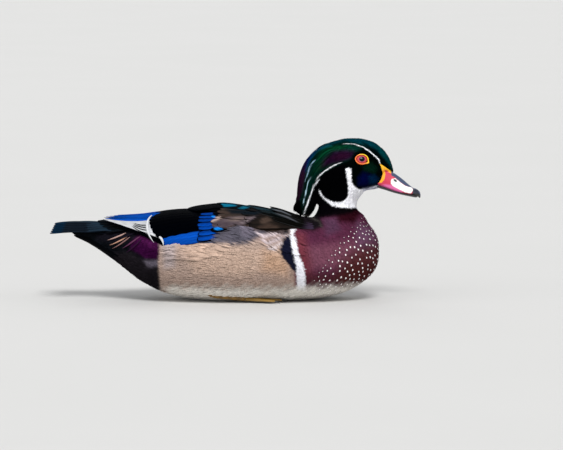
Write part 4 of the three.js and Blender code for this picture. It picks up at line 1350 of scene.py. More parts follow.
@dataclass
class Skin:
    """One skin under the coat, from the tail's root to the forehead, without a seam."""

    depth_body: float = 1.4
    depth_head: float = 0.7
    depth_neck: float = 1.0
    depth_crest: float = 1.8
    pad_height: float = 2.8
    voxel: float = 1.25
    nape_centre: Triple = (70.0, 0.0, 113.0)
    nape_size: Triple = (6.0, 9.0, 13.0)
    grid: tuple[int, int] = (180, 160)
    passes: int = 30
    even_passes: int = 4
    points: Array = field(init=False)
    normals: Array = field(init=False)
    faces: Array = field(init=False)
    tree: BVHTree = field(init=False)

    def pad(self, x: Array, girth: Array) -> Array:
        """Height of the flank's swelling over the wing's lower edge.

        Args:
            x: place along the body.
            girth: distance from the spine.

        Returns:
            One height per place.
        """
        upper, lower = FLANK_UPPER(x), FLANK_LOWER(x)
        share = (girth - upper) / (lower - upper)
        ends = np.clip(np.minimum((x + 96) / 28, (82 - x) / 28), 0, 1)
        below = np.clip(1 - share, 0, 1) ** 1.5
        above = np.clip(1 - (upper - girth) / 3.0, 0, 1)
        return self.pad_height * ends * np.where(share > 0, below, above)

    def torso(self) -> Shape:
        """The torso's skin, swollen at the flanks.

        Returns:
            One closed shape.
        """
        x = np.linspace(CHART.x[0] + 0.2, CHART.x[-1] - 0.2, self.grid[0])
        share = np.linspace(0, 2, self.grid[1], endpoint=False)
        total = np.interp(x, CHART.x, CHART.total)
        x2, share2 = np.meshgrid(x, share, indexing="ij")
        girth = np.where(share2 > 1, share2 - 2, share2) * total[:, None]
        height = self.pad(x2, np.abs(girth)) - self.depth_body
        return loft(CHART.over(1, x2, girth, height))

    def nape(self) -> Shape:
        """The flesh that fills the hollow between the crest and the neck."""
        return loft(np.array(self.nape_centre) + ball(24, 32, 0.05)[0] * np.array(self.nape_size))

    def build(self) -> None:
        """Makes the skin's mesh, and keeps what the coat needs of it."""
        flesh = joined([
            self.torso(),
            loft(HEAD.rings(96, 1.2, -self.depth_head)),
            loft(NECK.rings(96, 0.12, -self.depth_neck)),
            loft(CREST.rings(64, 0.12, -self.depth_crest)),
            self.nape(),
        ])
        points, edges, self.faces = fused("skin_parts", flesh, self.voxel)
        self.points = floored(self.relaxed(points, edges))
        self.normals = self.point_normals()
        tint = PLUMAGE.tint(self.points)
        # painted shade: the skin takes the plumage's colours a fifth darker, as the shade under the feathers
        tint[:, :3] *= 0.8
        shape = Shape(self.points, [self.faces]).painted(tint)
        place_piece("body_skin", shape, Finish.SKIN, "flank", "torso", "neck", "head")
        self.tree = BVHTree.FromPolygons(self.points.tolist(), self.faces.tolist())

    def relaxed(self, points: Array, edges: Array) -> Array:
        """Smooths the skin, most where the neck and the crest leave the body.

        Args:
            points: the skin's points.
            edges: pairs of point numbers.

        Returns:
            The points, moved.
        """
        count = len(points)
        degree = np.bincount(edges.ravel(), minlength=count)[:, None]
        root = np.exp(-(((points[:, 0] - 74) / 24) ** 2 + ((points[:, 2] - 88) / 9) ** 2))
        nape = np.exp(-(((points[:, 0] - 74) / 12) ** 2 + ((points[:, 2] - 112) / 20) ** 2))
        weight = np.clip(0.5 * root + 0.25 * nape, 0, 0.5)[:, None]
        for turn in range(self.passes):
            total = np.zeros_like(points)
            for axis in range(3):
                total[:, axis] = np.bincount(edges[:, 0], points[edges[:, 1], axis], count)
                total[:, axis] += np.bincount(edges[:, 1], points[edges[:, 0], axis], count)
            share = weight if turn >= self.even_passes else np.maximum(weight, 0.5)
            points = points + (total / degree - points) * share
        return points

    def point_normals(self) -> Array:
        """Works out the outward normal at each point of the skin.

        Returns:
            One direction of length 1 per point.
        """
        p, f = self.points, self.faces
        flat = np.cross(p[f[:, 2]] - p[f[:, 0]], p[f[:, 3]] - p[f[:, 1]])
        normals = np.zeros_like(p)
        for k in range(4):
            np.add.at(normals, f[:, k], flat)
        return unit(normals)

    def nearest(self, places: Array) -> tuple[Array, Array]:
        """Finds the skin's nearest point to each place, and the normal there.

        Args:
            places: places near the skin.

        Returns:
            The points and the normals.
        """
        spots = np.empty_like(places)
        faces = np.empty(len(places), int)
        find = self.tree.find_nearest
        for i, place in enumerate(places.tolist()):
            spot, _, face, _ = find(place)
            spots[i] = spot
            faces[i] = face
        return spots, unit(self.normals[self.faces[faces]].mean(axis=1))

    def scattered(self, spacing: Callable[[Array], Array], seed: int, density: float) -> tuple[Array, Array]:
        """Evenly scattered places on the skin.

        Args:
            spacing: least distance between places, by place; 0 keeps the place bare.
            seed: for the random numbers.
            density: tries for each square millimetre.

        Returns:
            The places and their normals.
        """
        rng = np.random.default_rng(seed)
        p, f = self.points, self.faces
        area = 0.5 * np.linalg.norm(np.cross(p[f[:, 2]] - p[f[:, 0]], p[f[:, 3]] - p[f[:, 1]]), axis=1)
        face = rng.choice(len(f), int(area.sum() * density), p=area / area.sum())
        a, b = rng.random(len(face))[:, None], rng.random(len(face))[:, None]
        shares = np.stack([(1 - a) * (1 - b), a * (1 - b), a * b, (1 - a) * b], axis=1)
        places = np.sum(p[f[face]] * shares, axis=1)
        normals = unit(np.sum(self.normals[f[face]] * shares, axis=1))
        gap = spacing(places)
        used = gap > 0
        places, normals, gap = places[used], normals[used], gap[used]
        tree = KDTree(len(places))
        for i, place in enumerate(places.tolist()):
            tree.insert(place, i)
        tree.balance()
        alive = np.ones(len(places), bool)
        kept = []
        for i in range(len(places)):
            if alive[i]:
                kept.append(i)
                for _, j, _ in tree.find_range(places[i].tolist(), float(gap[i])):
                    alive[j] = False
        return places[kept], normals[kept]


@dataclass(frozen=True)
class Flow:
    """The way the feathers lie, as directions at places in the side view."""

    anchors: tuple[tuple[float, float, float, float], ...] = (
        (149, 140, -0.7, 0.7), (143, 154, -0.75, 0.66), (128, 166, -0.95, 0.25), (105, 169, -1, -0.05),
        (84, 162, -0.85, -0.5), (70, 148, -0.6, -0.8), (63, 128, -0.3, -0.95), (60, 110, -0.15, -1),
        (53, 92, -0.5, -0.85), (135, 142, -0.95, 0.25), (132, 125, -1, -0.1), (118, 136, -0.95, -0.2),
        (100, 150, -0.95, -0.3), (88, 140, -0.8, -0.6), (78, 120, -0.5, -0.87), (100, 125, -0.8, -0.6),
        (128, 116, -1, -0.15), (112, 103, -0.55, -0.85), (95, 105, -0.5, -0.87), (74, 97, -0.35, -0.93),
        (112, 86, -0.45, -0.9), (132, 60, -0.3, -0.95), (125, 30, -0.75, -0.6), (100, 60, -0.6, -0.8),
        (70, 80, -0.85, -0.5), (62, 50, -0.9, -0.42), (80, 20, -0.95, -0.25), (40, 90, -1, -0.05),
        (30, 50, -0.98, -0.1), (0, 70, -0.99, 0.1), (0, 30, -0.99, -0.05), (-50, 93, -1, 0),
        (-60, 45, -0.99, 0.08), (-90, 30, -0.95, 0.25), (-110, 70, -0.99, -0.1), (-140, 45, -0.92, 0.35),
        (-150, 75, -1, 0), (-175, 65, -0.95, 0.25),
    )

    def at(self, points: Array, normals: Array) -> Array:
        """Finds the directions in the surface at points with normals.

        Args:
            points: places on the skin.
            normals: the skin's normals there.

        Returns:
            One direction of length 1 per point.
        """
        table = np.array(self.anchors)
        flat = points[:, [0, 2]]
        gap = np.sum((flat[:, None, :] - table[None, :, :2]) ** 2, axis=2)
        weight = 1 / (gap + 30) ** 2
        lean = (weight @ table[:, 2:]) / weight.sum(axis=1, keepdims=True)
        return across_of(np.column_stack([lean[:, 0], np.zeros(len(points)), lean[:, 1]]), normals)


FLOW = Flow()


def unwrapped(points: Array) -> Array:
    """Unwraps the body round its own length, for the bake map.

    Args:
        points: places on the skin.

    Returns:
        Two columns, from 0 to 1.
    """
    head = (points[:, 2] > 96) & (points[:, 0] > 45)
    axis = np.where(head, 130.0, np.interp(points[:, 0], TORSO.ribs[:, 0], TORSO.ribs[:, 4]))
    turn = np.arctan2(points[:, 1], points[:, 2] - axis) / (2 * math.pi) + 0.5
    column = np.where(head, 0.69 + 0.29 * (points[:, 0] - 45) / 110, 0.01 + 0.65 * (points[:, 0] + 215) / 355)
    return np.clip(np.column_stack([column, 0.01 + 0.98 * turn]), 0.004, 0.996)


# ---- the coat of small feathers


@dataclass(frozen=True)
class Tract:
    """One tract of small feathers.

    stations gives shares of the length, and widths the width at each.
    """

    name: str
    spacing: float
    length: float
    half: float
    lift: float
    sunk: float = 0.5
    camber: float = 0.25
    ruffle: float = 0.12
    stations: tuple[float, ...] = (0, 0.35, 0.75, 1)
    widths: tuple[float, ...] = (0.5, 1, 0.85, 0.12)
    shade: float = 0.1
    bars: float = 0.0
    silky: bool = False
    slot: str = "flank"


LONG = {"stations": (0, 0.2, 0.45, 0.7, 0.9, 1), "widths": (0.5, 1, 1, 0.8, 0.5, 0.1)}
HEAD_LONG = {**LONG, "shade": 0.2, "silky": True, "slot": "head"}


class TractName(Enum):
    """The tracts of the coat."""

    FACE = Tract("face_coat", 1.0, 3.6, 0.62, 0.4, 0.3, 0.1, 0.1, shade=0.14, silky=True, slot="head")
    CROWN = Tract("crown_coat", 1.0, 8, 0.6, 0.6, 0.35, 0.1, 0.06, **HEAD_LONG)
    CREST = Tract("crest_coat", 1.2, 12, 0.75, 0.7, 0.6, 0.15, 0.05, **HEAD_LONG)
    NECK = Tract("neck_coat", 1.15, 4.6, 0.85, 0.6, 0.4, 0.12, 0.1, shade=0.12, slot="breast")
    BREAST = Tract("breast_coat", 2.1, 7.5, 1.9, 0.7, 0.5, 0.18, 0.05, shade=0.06, slot="breast")
    BAND = Tract("band_coat", 1.1, 5, 0.8, 1.1, 0.5, 0.1, 0.05, shade=0.05)
    BACK = Tract("back_coat", 2.5, 13, 2.6, 1.4, 0.5, 0.35, 0.08, shade=0.16, slot="back")
    FLANK = Tract("flank_coat", 1.5, 10, 1.0, 1.3, 0.5, 0.12, 0.07, **LONG, shade=0.07, bars=0.45)
    BELLY = Tract("belly_coat", 2.3, 10, 2.0, 1.2, 0.5, 0.25, 0.1, shade=0.06)
    RUMP = Tract("rump_coat", 2.2, 11, 2.0, 1.2, 0.5, 0.3, 0.08, shade=0.14, slot="back")


TRACTS = list(TractName)


WING_UPPER = curve_of([(-97, 4), (-60, 1.6), (20, 2), (50, 11), (62, 22)])
WING_LOWER = curve_of([(-97, 52), (-60, 69), (-20, 68), (10, 61), (40, 52), (62, 36)])


@dataclass
class Coat:
    """The small feathers over the whole skin."""

    skin: Skin
    seed: int = 7
    tries: float = 2.2
    most_faces: int = 190_000
    fleck_lift: float = 0.4
    fleck_seed: int = 5

    def tract_of(self, points: Array) -> Array:
        """Sorts places on the skin into tracts.

        Args:
            points: places on the skin.

        Returns:
            The tract's number for each place, -1 where the skin stays bare.
        """
        place = VIEW.place(points)
        column, row = place[:, 0], place[:, 1]
        x, girth = CHART.where(points)
        z = points[:, 2]
        number = {name: k for k, name in enumerate(TRACTS)}
        tract = np.full(len(points), number[TractName.BACK])
        tract[girth > FLANK_UPPER(x) - 4] = number[TractName.FLANK]
        tract[(z < 15) & (girth > 70)] = number[TractName.BELLY]
        tract[x < -98] = number[TractName.RUMP]
        front = (column > 287 + np.clip((row - 236) * 0.3, 0, 12)) & (row > 222)
        front |= (column > 318) & (row > 208)
        tract[front & (z < 98)] = number[TractName.BREAST]
        bent = column + np.interp(row, [224, 236, 250, 266, 300], [0, 0.6, -2.2, -7.5, -11])
        tract[(bent > 280.5) & (bent < 297.5) & (row > 223) & (z > 20)] = number[TractName.BAND]
        high = (z > NECK_FOOT) & (points[:, 0] > NECK_REAR) & (row < 214)
        tract[high] = number[TractName.NECK]
        tract[high & (z > HEAD_FOOT)] = number[TractName.FACE]
        crown = (row < 150) | (column < 352) & (row < 163) & (column > 300)
        tract[high & (z > HEAD_FOOT) & crown] = number[TractName.CROWN]
        tract[high & (column < 320 - (row - 160) * 0.22) & (row > 150)] = number[TractName.CREST]
        tract[high & (column < 313) & (z < HEAD_FOOT)] = -1
        under = (x > -90) & (x < 52) & (girth > WING_UPPER(x) + 7) & (girth < WING_LOWER(x) - 7)
        tract[under & ~high & (points[:, 0] < 60)] = -1
        bill = (column > 380) & (row > 163 + (column - 379) * 0.85)
        tract[bill & (z > 105)] = -1
        tract[high & (round_eye(points) < 0.86)] = -1
        return tract

    def spacing(self, points: Array) -> Array:
        """Least distance between feathers, and 0 where there are none."""
        table = np.array([name.value.spacing for name in TRACTS] + [0.0])
        return table[self.tract_of(points)]

    def build(self) -> None:
        """Scatters the feathers, shapes each tract and places its pieces."""
        roots, normals = self.skin.scattered(self.spacing, self.seed, self.tries)
        tract = self.tract_of(roots)
        for k, name in enumerate(TRACTS):
            self.dress(name.value, roots[tract == k], normals[tract == k], k)

    def dress(self, tract: Tract, roots: Array, normals: Array, seed: int) -> None:
        """Makes the pieces of one tract.

        Args:
            tract: its sizes.
            roots: the feathers' roots.
            normals: the skin's normals there.
            seed: for the random numbers.
        """
        per_feather = (len(tract.stations) - 1) * 6 + 2
        parts = max(1, math.ceil(len(roots) * per_feather / self.most_faces))
        order = np.argsort(roots[:, 1], kind="stable")
        for part, chosen in enumerate(np.array_split(order, parts)):
            shape = self.feathers(tract, roots[chosen], normals[chosen], seed * 10 + part)
            name = tract.name if parts == 1 else f"{tract.name}_{part + 1}"
            place_piece(name, shape, Finish.SILKY if tract.silky else Finish.SOFT, tract.slot)

    def feathers(self, tract: Tract, roots: Array, normals: Array, seed: int) -> Shape:
        """Shapes one feather at each root, walking down the skin along the flow.

        Args:
            tract: the tract's sizes.
            roots: the feathers' roots.
            normals: the skin's normals there.
            seed: for the random numbers.

        Returns:
            One shape of closed feathers, with their maps and colours.
        """
        rng = np.random.default_rng(seed)
        count = len(roots)
        length = tract.length * rng.uniform(0.8, 1.15, count)
        face = (roots[:, 0] > 115) & (roots[:, 2] > 120)
        clear_of_eye = np.maximum((round_eye(roots) - 1) * 7.5, 1.0)
        length = np.where(face, np.minimum(length, clear_of_eye), length)
        turn = rng.normal(0, tract.ruffle, count)
        shares = np.array(tract.stations)
        path, norms = [roots], [normals]
        leans = []
        for before, after in zip(shares[:-1], shares[1:]):
            lean = FLOW.at(path[-1], norms[-1])
            side = np.cross(norms[-1], lean)
            lean = unit(lean * np.cos(turn)[:, None] + side * np.sin(turn)[:, None])
            leans.append(lean)
            ahead, normal = self.skin.nearest(path[-1] + lean * ((after - before) * length)[:, None])
            path.append(ahead)
            norms.append(normal)
        leans.append(leans[-1])
        path, norms, leans = (np.stack(v, axis=1) for v in (path, norms, leans))
        side = np.cross(leans, norms)
        widths = np.array(tract.widths)[None, :] * (tract.half * rng.uniform(0.85, 1.15, count))[:, None]
        high = (tract.lift * rng.uniform(0.75, 1.25, count))[:, None]
        spots = self.flecks(path[:, -1]) if tract is TractName.BREAST.value else np.zeros(count)
        high[spots > 0] += self.fleck_lift
        height = -tract.sunk + (high + tract.sunk) * shares[None, :] ** 0.8
        columns = np.array([-1.0, 0.0, 1.0])
        flat = path[:, :, None, :] + side[:, :, None, :] * (widths[:, :, None] * columns)[..., None]
        dome = tract.camber * (1 - columns**2)
        points = flat + norms[:, :, None, :] * (height[:, :, None] + dome)[..., None]
        rows = len(shares)
        per = rows * 3
        tint = PLUMAGE.tint(flat.reshape(-1, 3), seed).reshape(count, per, 4)
        shade = np.exp(rng.normal(0, tract.shade, count))[:, None]
        # painted shade: each feather is painted darker at its root, where it lies under its neighbours, and a
        # little lighter at its tip
        ends = np.repeat(0.82 + 0.25 * shares, 3)[None, :]
        tint[..., :3] *= (shade * ends)[..., None]
        marks = np.zeros((count, per, 3))
        marks[..., 2] = tract.bars
        marks[..., 1] = spots[:, None]
        faces = self.pattern(rows, count)
        vane = np.stack(np.meshgrid(shares, (columns + 1) / 2, indexing="ij")[::-1], axis=-1).reshape(per, 2)
        bake = unwrapped(roots)[:, None, :] + (vane[None, :, :] - 0.5) * 0.003
        edge = np.tile((np.abs(columns) > 0).astype(int) * (1 + (columns > 0)), rows)
        shape = Shape(floored(points.reshape(-1, 3)), faces)
        shape.painted(tint.reshape(-1, 4), marks.reshape(-1, 3))
        shape.values["vane"] = np.tile(vane, (count, 1))
        shape.values["bake"] = bake.reshape(-1, 2)
        shape.values["edge"] = np.tile(edge, count)
        return shape

    def pattern(self, rows: int, count: int) -> list[Array]:
        """Faces of closed three-column feathers, one after another.

        Args:
            rows: rows of points in a feather.
            count: feathers.

        Returns:
            The four-sided faces and the three-sided ones.
        """
        r = np.arange(rows - 1)[:, None] * 3
        top = np.concatenate([np.hstack([r + c, r + c + 1, r + c + 4, r + c + 3]) for c in (0, 1)])
        under = np.hstack([r, r + 3, r + 5, r + 2])
        quads = np.concatenate([top, under])
        last = (rows - 1) * 3
        ends = np.array([[0, 2, 1], [last, last + 1, last + 2]])
        starts = (np.arange(count) * rows * 3)[:, None, None]
        return [(quads[None] + starts).reshape(-1, 4), (ends[None] + starts).reshape(-1, 3)]

    def flecks(self, tips: Array) -> Array:
        """Size of the white fleck on each breast feather, 0 on those between two flecks.

        Args:
            tips: the feathers' tips.

        Returns:
            One size per feather; flecks grow towards the low front of the breast.
        """
        place = VIEW.place(tips)
        column, row = place[:, 0], place[:, 1]
        ahead = eased(334, 358, column + (row - 240) * 0.7)
        size = (0.22 + 0.68 * eased(216, 252, row)) * ahead
        rng = np.random.default_rng(self.fleck_seed)
        marked = np.zeros(len(tips), bool)
        for k in rng.permutation(np.flatnonzero(size > 0.1)):
            gaps = np.linalg.norm(tips[marked] - tips[k], axis=1)
            marked[k] = not (gaps < 3.3 + 1.6 * size[k]).any()
        return size * marked


# ---- large vanes


@dataclass(frozen=True)
class VaneShape:
    """Outline of a large feather: width at shares of its length, and how its tip is rounded."""

    widths: Knots
    tip_from: float = 0.8
    square: float = 2.2
    rows: int = 20
    columns: int = 9

    def stations(self) -> Array:
        """Shares of the length, closer together near the tip."""
        t = np.linspace(0, 1, self.rows)
        return 1 - (1 - t) ** 1.5

    def half(self, along: Array) -> Array:
        """Works out the outline's half width.

        Args:
            along: shares of the length.

        Returns:
            One half width per share, against the widest.
        """
        s = np.clip((along - self.tip_from) / (1 - self.tip_from), 0, 1)
        rounding = np.maximum((1 - s**self.square), 0.0) ** (1 / self.square)
        return curve_of(self.widths)(along) * rounding + 0.02


ROUNDED = VaneShape([(0, 0.55), (0.3, 0.9), (0.6, 1), (1, 0.95)], 0.72, 2.2)
BROAD = VaneShape([(0, 0.5), (0.3, 0.9), (0.7, 1), (1, 1)], 0.8, 2.4)
SQUARED = VaneShape([(0, 0.6), (0.4, 0.95), (0.8, 1.05), (1, 1)], 0.86, 2.6)
POINTED = VaneShape([(0, 0.6), (0.3, 0.95), (0.6, 1), (1, 0.8)], 0.5, 1.7, 24)
WISPY = VaneShape([(0, 0.6), (0.2, 1), (0.5, 0.9), (1, 0.5)], 0.55, 1.5, 14, 5)


def vane_solid(top: Array, thick: float, order: int, total: int) -> Shape:
    """Closes grids of points into thin feathers.

    Args:
        top: feathers by rows by columns by 3: the upper faces.
        thick: thickness in the middle; the edges are thinner.
        order: number of the first feather on the bake map.
        total: feathers on the bake map.

    Returns:
        One shape of closed feathers, with their maps.
    """
    count, rows, columns = top.shape[:3]
    normal = unit(np.cross(np.gradient(top, axis=2), np.gradient(top, axis=1)))
    across = np.linspace(-1, 1, columns)
    depth = thick * (1 - 0.75 * np.abs(across) ** 2)
    under = top - normal * depth[None, None, :, None]
    per = rows * columns
    points = np.concatenate([top.reshape(count, per, 3), under.reshape(count, per, 3)], axis=1)
    starts = (np.arange(count) * per * 2)[:, None, None]
    faces = (closed_faces(rows, columns)[None] + starts).reshape(-1, 4)
    u, v = np.meshgrid((across + 1) / 2, np.linspace(0, 1, rows))
    both = np.tile(np.column_stack([u.ravel(), v.ravel()]), (2, 1))
    # every feather has its own cell on the bake map, with its upper face beside its under face
    side = math.ceil(math.sqrt(total))
    cell = np.arange(order, order + count)
    corner = np.column_stack([cell % side, cell // side]) / side
    local = both * np.array([0.42, 0.9]) + np.array([0.04, 0.05])
    local[per:, 0] += 0.5
    edge = np.zeros((2, rows, columns), int)
    edge[:, :, 0] = edge[:, :, -1] = edge[:, 0, :] = edge[:, -1, :] = 1
    edge[1] *= 2
    values = {
        "vane": np.tile(both, (count, 1)),
        "bake": (corner[:, None, :] + local[None] / side).reshape(-1, 2),
        "edge": np.tile(edge.ravel(), count),
    }
    return Shape(points.reshape(-1, 3), [faces], values)


@dataclass(frozen=True)
class Paint:
    """Colours of one kind of large feather, from its lower edge to its upper one.

    lower and upper colour the two webs, tip the end beyond tip_from, and rim the edge.
    """

    lower: str
    upper: str
    tip: str = ""
    tip_from: float = 0.8
    gloss: float = 0.5
    rim: str = "000000"
    rim_wide: float = 0.0
    rim_from: float = 0.0
    shade: float = 0.1

    def tints(self, size: tuple[int, ...], seed: int, mirrored: bool = False) -> tuple[Array, Array, Array]:
        """Colours of feathers' grids.

        Args:
            size: feathers, rows and columns.
            seed: for the random numbers.
            mirrored: whether the columns run the other way.

        Returns:
            Tints, marks and rim colours for each feather's upper and under face; the under face is painted
            darker, as shade.
        """
        count, rows, columns = size
        rng = np.random.default_rng(seed)
        t = np.linspace(0, 1, rows)[:, None] + np.zeros(columns)
        u = np.linspace(-1, 1, columns)[None, :] * (-1 if mirrored else 1) + 0 * t
        tint = blended(colour(self.lower), colour(self.upper), eased(-0.15, 0.15, u)[..., None])
        if self.tip:
            share = eased(self.tip_from - 0.04, self.tip_from + 0.04, t)
            tint = blended(tint, colour(self.tip), share[..., None])
        tint = tint.reshape(-1, 3)
        # painted shade: the under face of each feather takes 0.6 of the upper face's colour
        both = np.concatenate([tint, tint * 0.6])
        tints = np.tile(np.column_stack([both, np.full(len(both), self.gloss)]), (count, 1, 1))
        tints[..., :3] *= np.exp(rng.normal(0, self.shade, (count, 1, 1)))
        wide = self.rim_wide * eased(self.rim_from - 0.05, self.rim_from + 0.1, t)
        marks = np.zeros((count, len(both), 3))
        marks[..., 0] = np.tile(wide.ravel(), 2)
        rims = np.tile(colour(self.rim), (count * len(both), 1))
        return tints.reshape(-1, 4), marks.reshape(-1, 3), rims


@dataclass(frozen=True)
class Tier:
    """One tier of the folded wing's feathers, laid on the torso's chart.

    Roots and tips are [x, girth] of the lowest feather and of the one nearest the spine, and each pair
    of sizes runs the same way.
    """

    count: int
    root: tuple[Pair, Pair]
    tip: tuple[Pair, Pair]
    half: Pair
    lift: Pair
    paint: Paint
    shape: VaneShape = ROUNDED
    sunk: float = 0.8
    bow: Pair = (1.0, 1.0)
    camber: float = 0.6
    thick: float = 0.35
    gap: float = 0.2
    jitter: float = 0.0
    bulge: float = 0.0
    arch: float = 0.0
    drawn: bool = False

    def grid(self, side: Side, seed: int) -> Array:
        """Lays the upper faces of the tier's feathers on one side of the bird.

        Args:
            side: the bird's side.
            seed: for the random numbers.

        Returns:
            Feathers by rows by columns by 3, the columns turned so that the faces point up.
        """
        rng = np.random.default_rng(seed)
        k = np.linspace(0, 1, self.count)[:, None, None]
        t = self.shape.stations()[None, :, None]
        c = np.linspace(-1, 1, self.shape.columns)[None, None, :]

        def mixed(pair: Sequence[float]) -> Array:
            """A size for each feather of the tier."""
            return pair[0] + (pair[1] - pair[0]) * k

        def loose(size: float) -> Array:
            """A small random shift for each feather."""
            return rng.normal(0, 1, (self.count, 1, 1)) * size * self.jitter

        rx, rg = (mixed([p[i] for p in self.root]) for i in (0, 1))
        tx = mixed([p[0] for p in self.tip]) + loose(2.0) - self.bulge * 4 * k * (1 - k)
        tg = mixed([p[1] for p in self.tip]) + loose(1.2)
        run_x, run_g = tx - rx, tg - rg
        length = np.hypot(run_x, run_g)
        pitch = max(math.dist(*self.root), math.dist(*self.tip), 1.0) / max(self.count - 1, 1)
        half = mixed(self.half)
        width = half * self.shape.half(t)
        frayed = 1 + 0.05 * np.sin(t * 37 + k * 90 + c * 2) * np.abs(c) ** 4
        off = c * width * frayed
        off = off + mixed(self.bow) * 4 * t * (1 - t)
        x = rx + run_x * t + run_g / length * off
        girth = rg + run_g * t - run_x / length * off
        girth = np.where(girth < 0.4, 0.4 + (girth - 0.4) * 0.05, girth)
        slant = np.minimum((self.thick + self.gap) * half / pitch, 0.9) * (self.count > 1)
        height = -self.sunk + (mixed(self.lift) + self.sunk) * t**0.8
        height = height + c * self.shape.half(t) * slant * eased(0, 0.3, t)
        height = height + self.camber * (1 - c**2) * self.shape.half(t) + self.arch * 4 * t * (1 - t)
        grid = CHART.over(side.value, x, girth, height)
        return grid[:, :, ::-1] if side is Side.LEFT else grid


WHITE_VANE = Paint("fbfcff", "f2f5fc", rim="0a0c12", rim_wide=0.1, shade=0.03)
BLUE_VANE = Paint("0a5fd0", "0858c4", gloss=0.3, rim="061c44", rim_wide=0.06, shade=0.08)
BLACK_VANE = Paint("010206", "010308", gloss=0.0, shade=0.2)
BRIGHT_RIM = Paint("fbfcff", "fbfcff", gloss=0.0, shade=0.0)
WING_TIERS = (
    # under primary: a black feather below the primaries' lower edge, standing in for the shadow there
    Tier(
        1, ((-84, 66), (-84, 66)), ((-151, 14), (-151, 14)), (3.4, 3.4), (5.6, 5.6),
        BLACK_VANE, POINTED, bow=(-5, -5),
    ),
    # primaries
    Tier(
        9, ((-84, 62), (-80, 29)), ((-148, 13.5), (-153.3, 10.2)), (3.0, 2.8), (6.2, 6.8),
        WHITE_VANE, POINTED, bow=(-4, -0.5),
    ),
    # primary lines
    Tier(
        4, ((-105.6, 43.5), (-105.8, 33)), ((-121, 30), (-119, 26.5)), (0.42, 0.42),
        (5.2, 5.4), BLACK_VANE, WISPY, sunk=-3.5, camber=0.2,
    ),
    # blue quills
    Tier(
        4, ((-76, 27), (-72, 12)), ((-151, 9), (-138, 4.6)), (3.2, 3.4), (7.2, 7.8),
        BLUE_VANE, POINTED, bow=(1.5, 0),
    ),
    # secondaries
    Tier(
        7, ((-44, 67), (-44, 46)), ((-87.4, 63), (-93, 47)), (3.6, 4.0), (2.7, 3.2),
        Paint("0a52bc", "0a4ab0", "05070c", 0.93, 0.3, "06142e", 0.07), SQUARED,
    ),
    # white stroke
    Tier(
        1, ((-92.4, 53.4), (-92.4, 53.4)), ((-87.8, 64.4), (-87.8, 64.4)), (0.95, 0.95),
        (4.4, 4.4), BRIGHT_RIM, WISPY, sunk=-4.0, camber=0.2,
    ),
    # white edge
    Tier(
        1, ((-101.9, 15), (-101.9, 15)), ((-97.6, 57), (-97.6, 57)), (1.15, 1.15), (4.4, 4.4),
        BRIGHT_RIM, WISPY, sunk=-4.0, bow=(-5.8, -5.8), camber=0.2,
    ),
    # tertials
    Tier(
        8, ((-34, 46), (-34, 7)), ((-97, 47.5), (-99, 7)), (8, 7), (3.6, 2.9), BLACK_VANE,
        BROAD, bow=(2.5, 0.5), bulge=6,
    ),
    # greater coverts
    Tier(
        7, ((-14, 62), (-12, 30)), ((-54, 66.5), (-52, 33)), (4.2, 4.2), (3.3, 3.8),
        Paint("0850bc", "0846a8", "03050a", 0.93, 0.3, "03050a", 0.26), ROUNDED, bulge=1, jitter=0.4,
    ),
    # median coverts
    Tier(
        7, ((8, 58), (8, 18)), ((-40, 60), (-41, 20)), (4.6, 4.6), (3.3, 3.9),
        Paint("06080c", "080b10", gloss=0.1), ROUNDED, jitter=0.8, drawn=True,
    ),
    # lesser coverts
    Tier(
        5, ((34, 50), (30, 22)), ((-36, 54), (-33, 26)), (6.4, 6.8), (3.6, 4.1),
        Paint("4a3c36", "4a403a", gloss=0.0, rim="1f1917", rim_wide=0.12), ROUNDED, jitter=0.8, drawn=True,
    ),
    # foremost coverts
    Tier(
        6, ((55, 40), (48, 18)), ((-2, 55), (-6, 24)), (5.4, 5.4), (3.6, 3.9),
        Paint("241e1b", "1d1b19", gloss=0.0, rim="0c0b09", rim_wide=0.15), ROUNDED, jitter=0.8, drawn=True,
    ),
    # rear scapulars
    Tier(
        5, ((-8, 21), (-12, 4.8)), ((-59, 17), (-65, 4.4)), (5.2, 4.4), (2.3, 2.3),
        Paint("010308", "010308", gloss=0.0), ROUNDED, bulge=2, arch=3.0,
    ),
    # middle scapulars
    Tier(
        6, ((26, 22), (22, 4.6)), ((-28, 21), (-34, 4.4)), (4.8, 4.3), (4.2, 4.7),
        Paint("040608", "051114", gloss=0.2, rim="03272d", rim_wide=0.08), ROUNDED, jitter=0.6, drawn=True,
    ),
    # fore scapulars
    Tier(
        6, ((54, 30), (44, 5.5)), ((4, 27), (0, 4.6)), (5.0, 4.2), (3.6, 3.6),
        Paint("0a0c0b", "0d1212", gloss=0.2, rim="2c2f30", rim_wide=0.06), ROUNDED, jitter=0.8, drawn=True,
    ),
    # shoulder plumes
    Tier(
        8, ((70, 38), (60, 5.5)), ((26, 38), (20, 4.6)), (4.2, 4.0), (3.6, 4.6),
        Paint("0f0e0c", "131412", gloss=0.1, rim="303232", rim_wide=0.06), ROUNDED, sunk=2.2, jitter=1.2,
        drawn=True,
    ),
)


@dataclass
class Wing:
    """One folded wing."""

    side: Side
    tiers: tuple[Tier, ...] = WING_TIERS

    def build(self) -> None:
        """Lays every tier and places the wing."""
        total = sum(tier.count for tier in self.tiers)
        shapes: list[Shape] = []
        order = 0
        for number, tier in enumerate(self.tiers):
            grid = tier.grid(self.side, number + 3)
            shape = vane_solid(grid, tier.thick, order, total)
            tints, marks, rims = tier.paint.tints(grid.shape[:3], number, self.side is Side.RIGHT)
            if tier.drawn:
                place = VIEW.place(shape.points)
                plain = tints.copy()
                for mark in WING_MARKS:
                    mark.lay(place, tints)
                spine = eased(13, 5, np.abs(shape.points[:, 1]))[:, None]
                tints += (plain - tints) * 0.85 * spine
            shapes.append(shape.painted(tints, marks, rims))
            order += tier.count
        side = self.side.name.lower()
        place_piece(f"wing_feathers_{side}", joined(shapes), Finish.FLIGHT, "wing", f"wing_{side}")


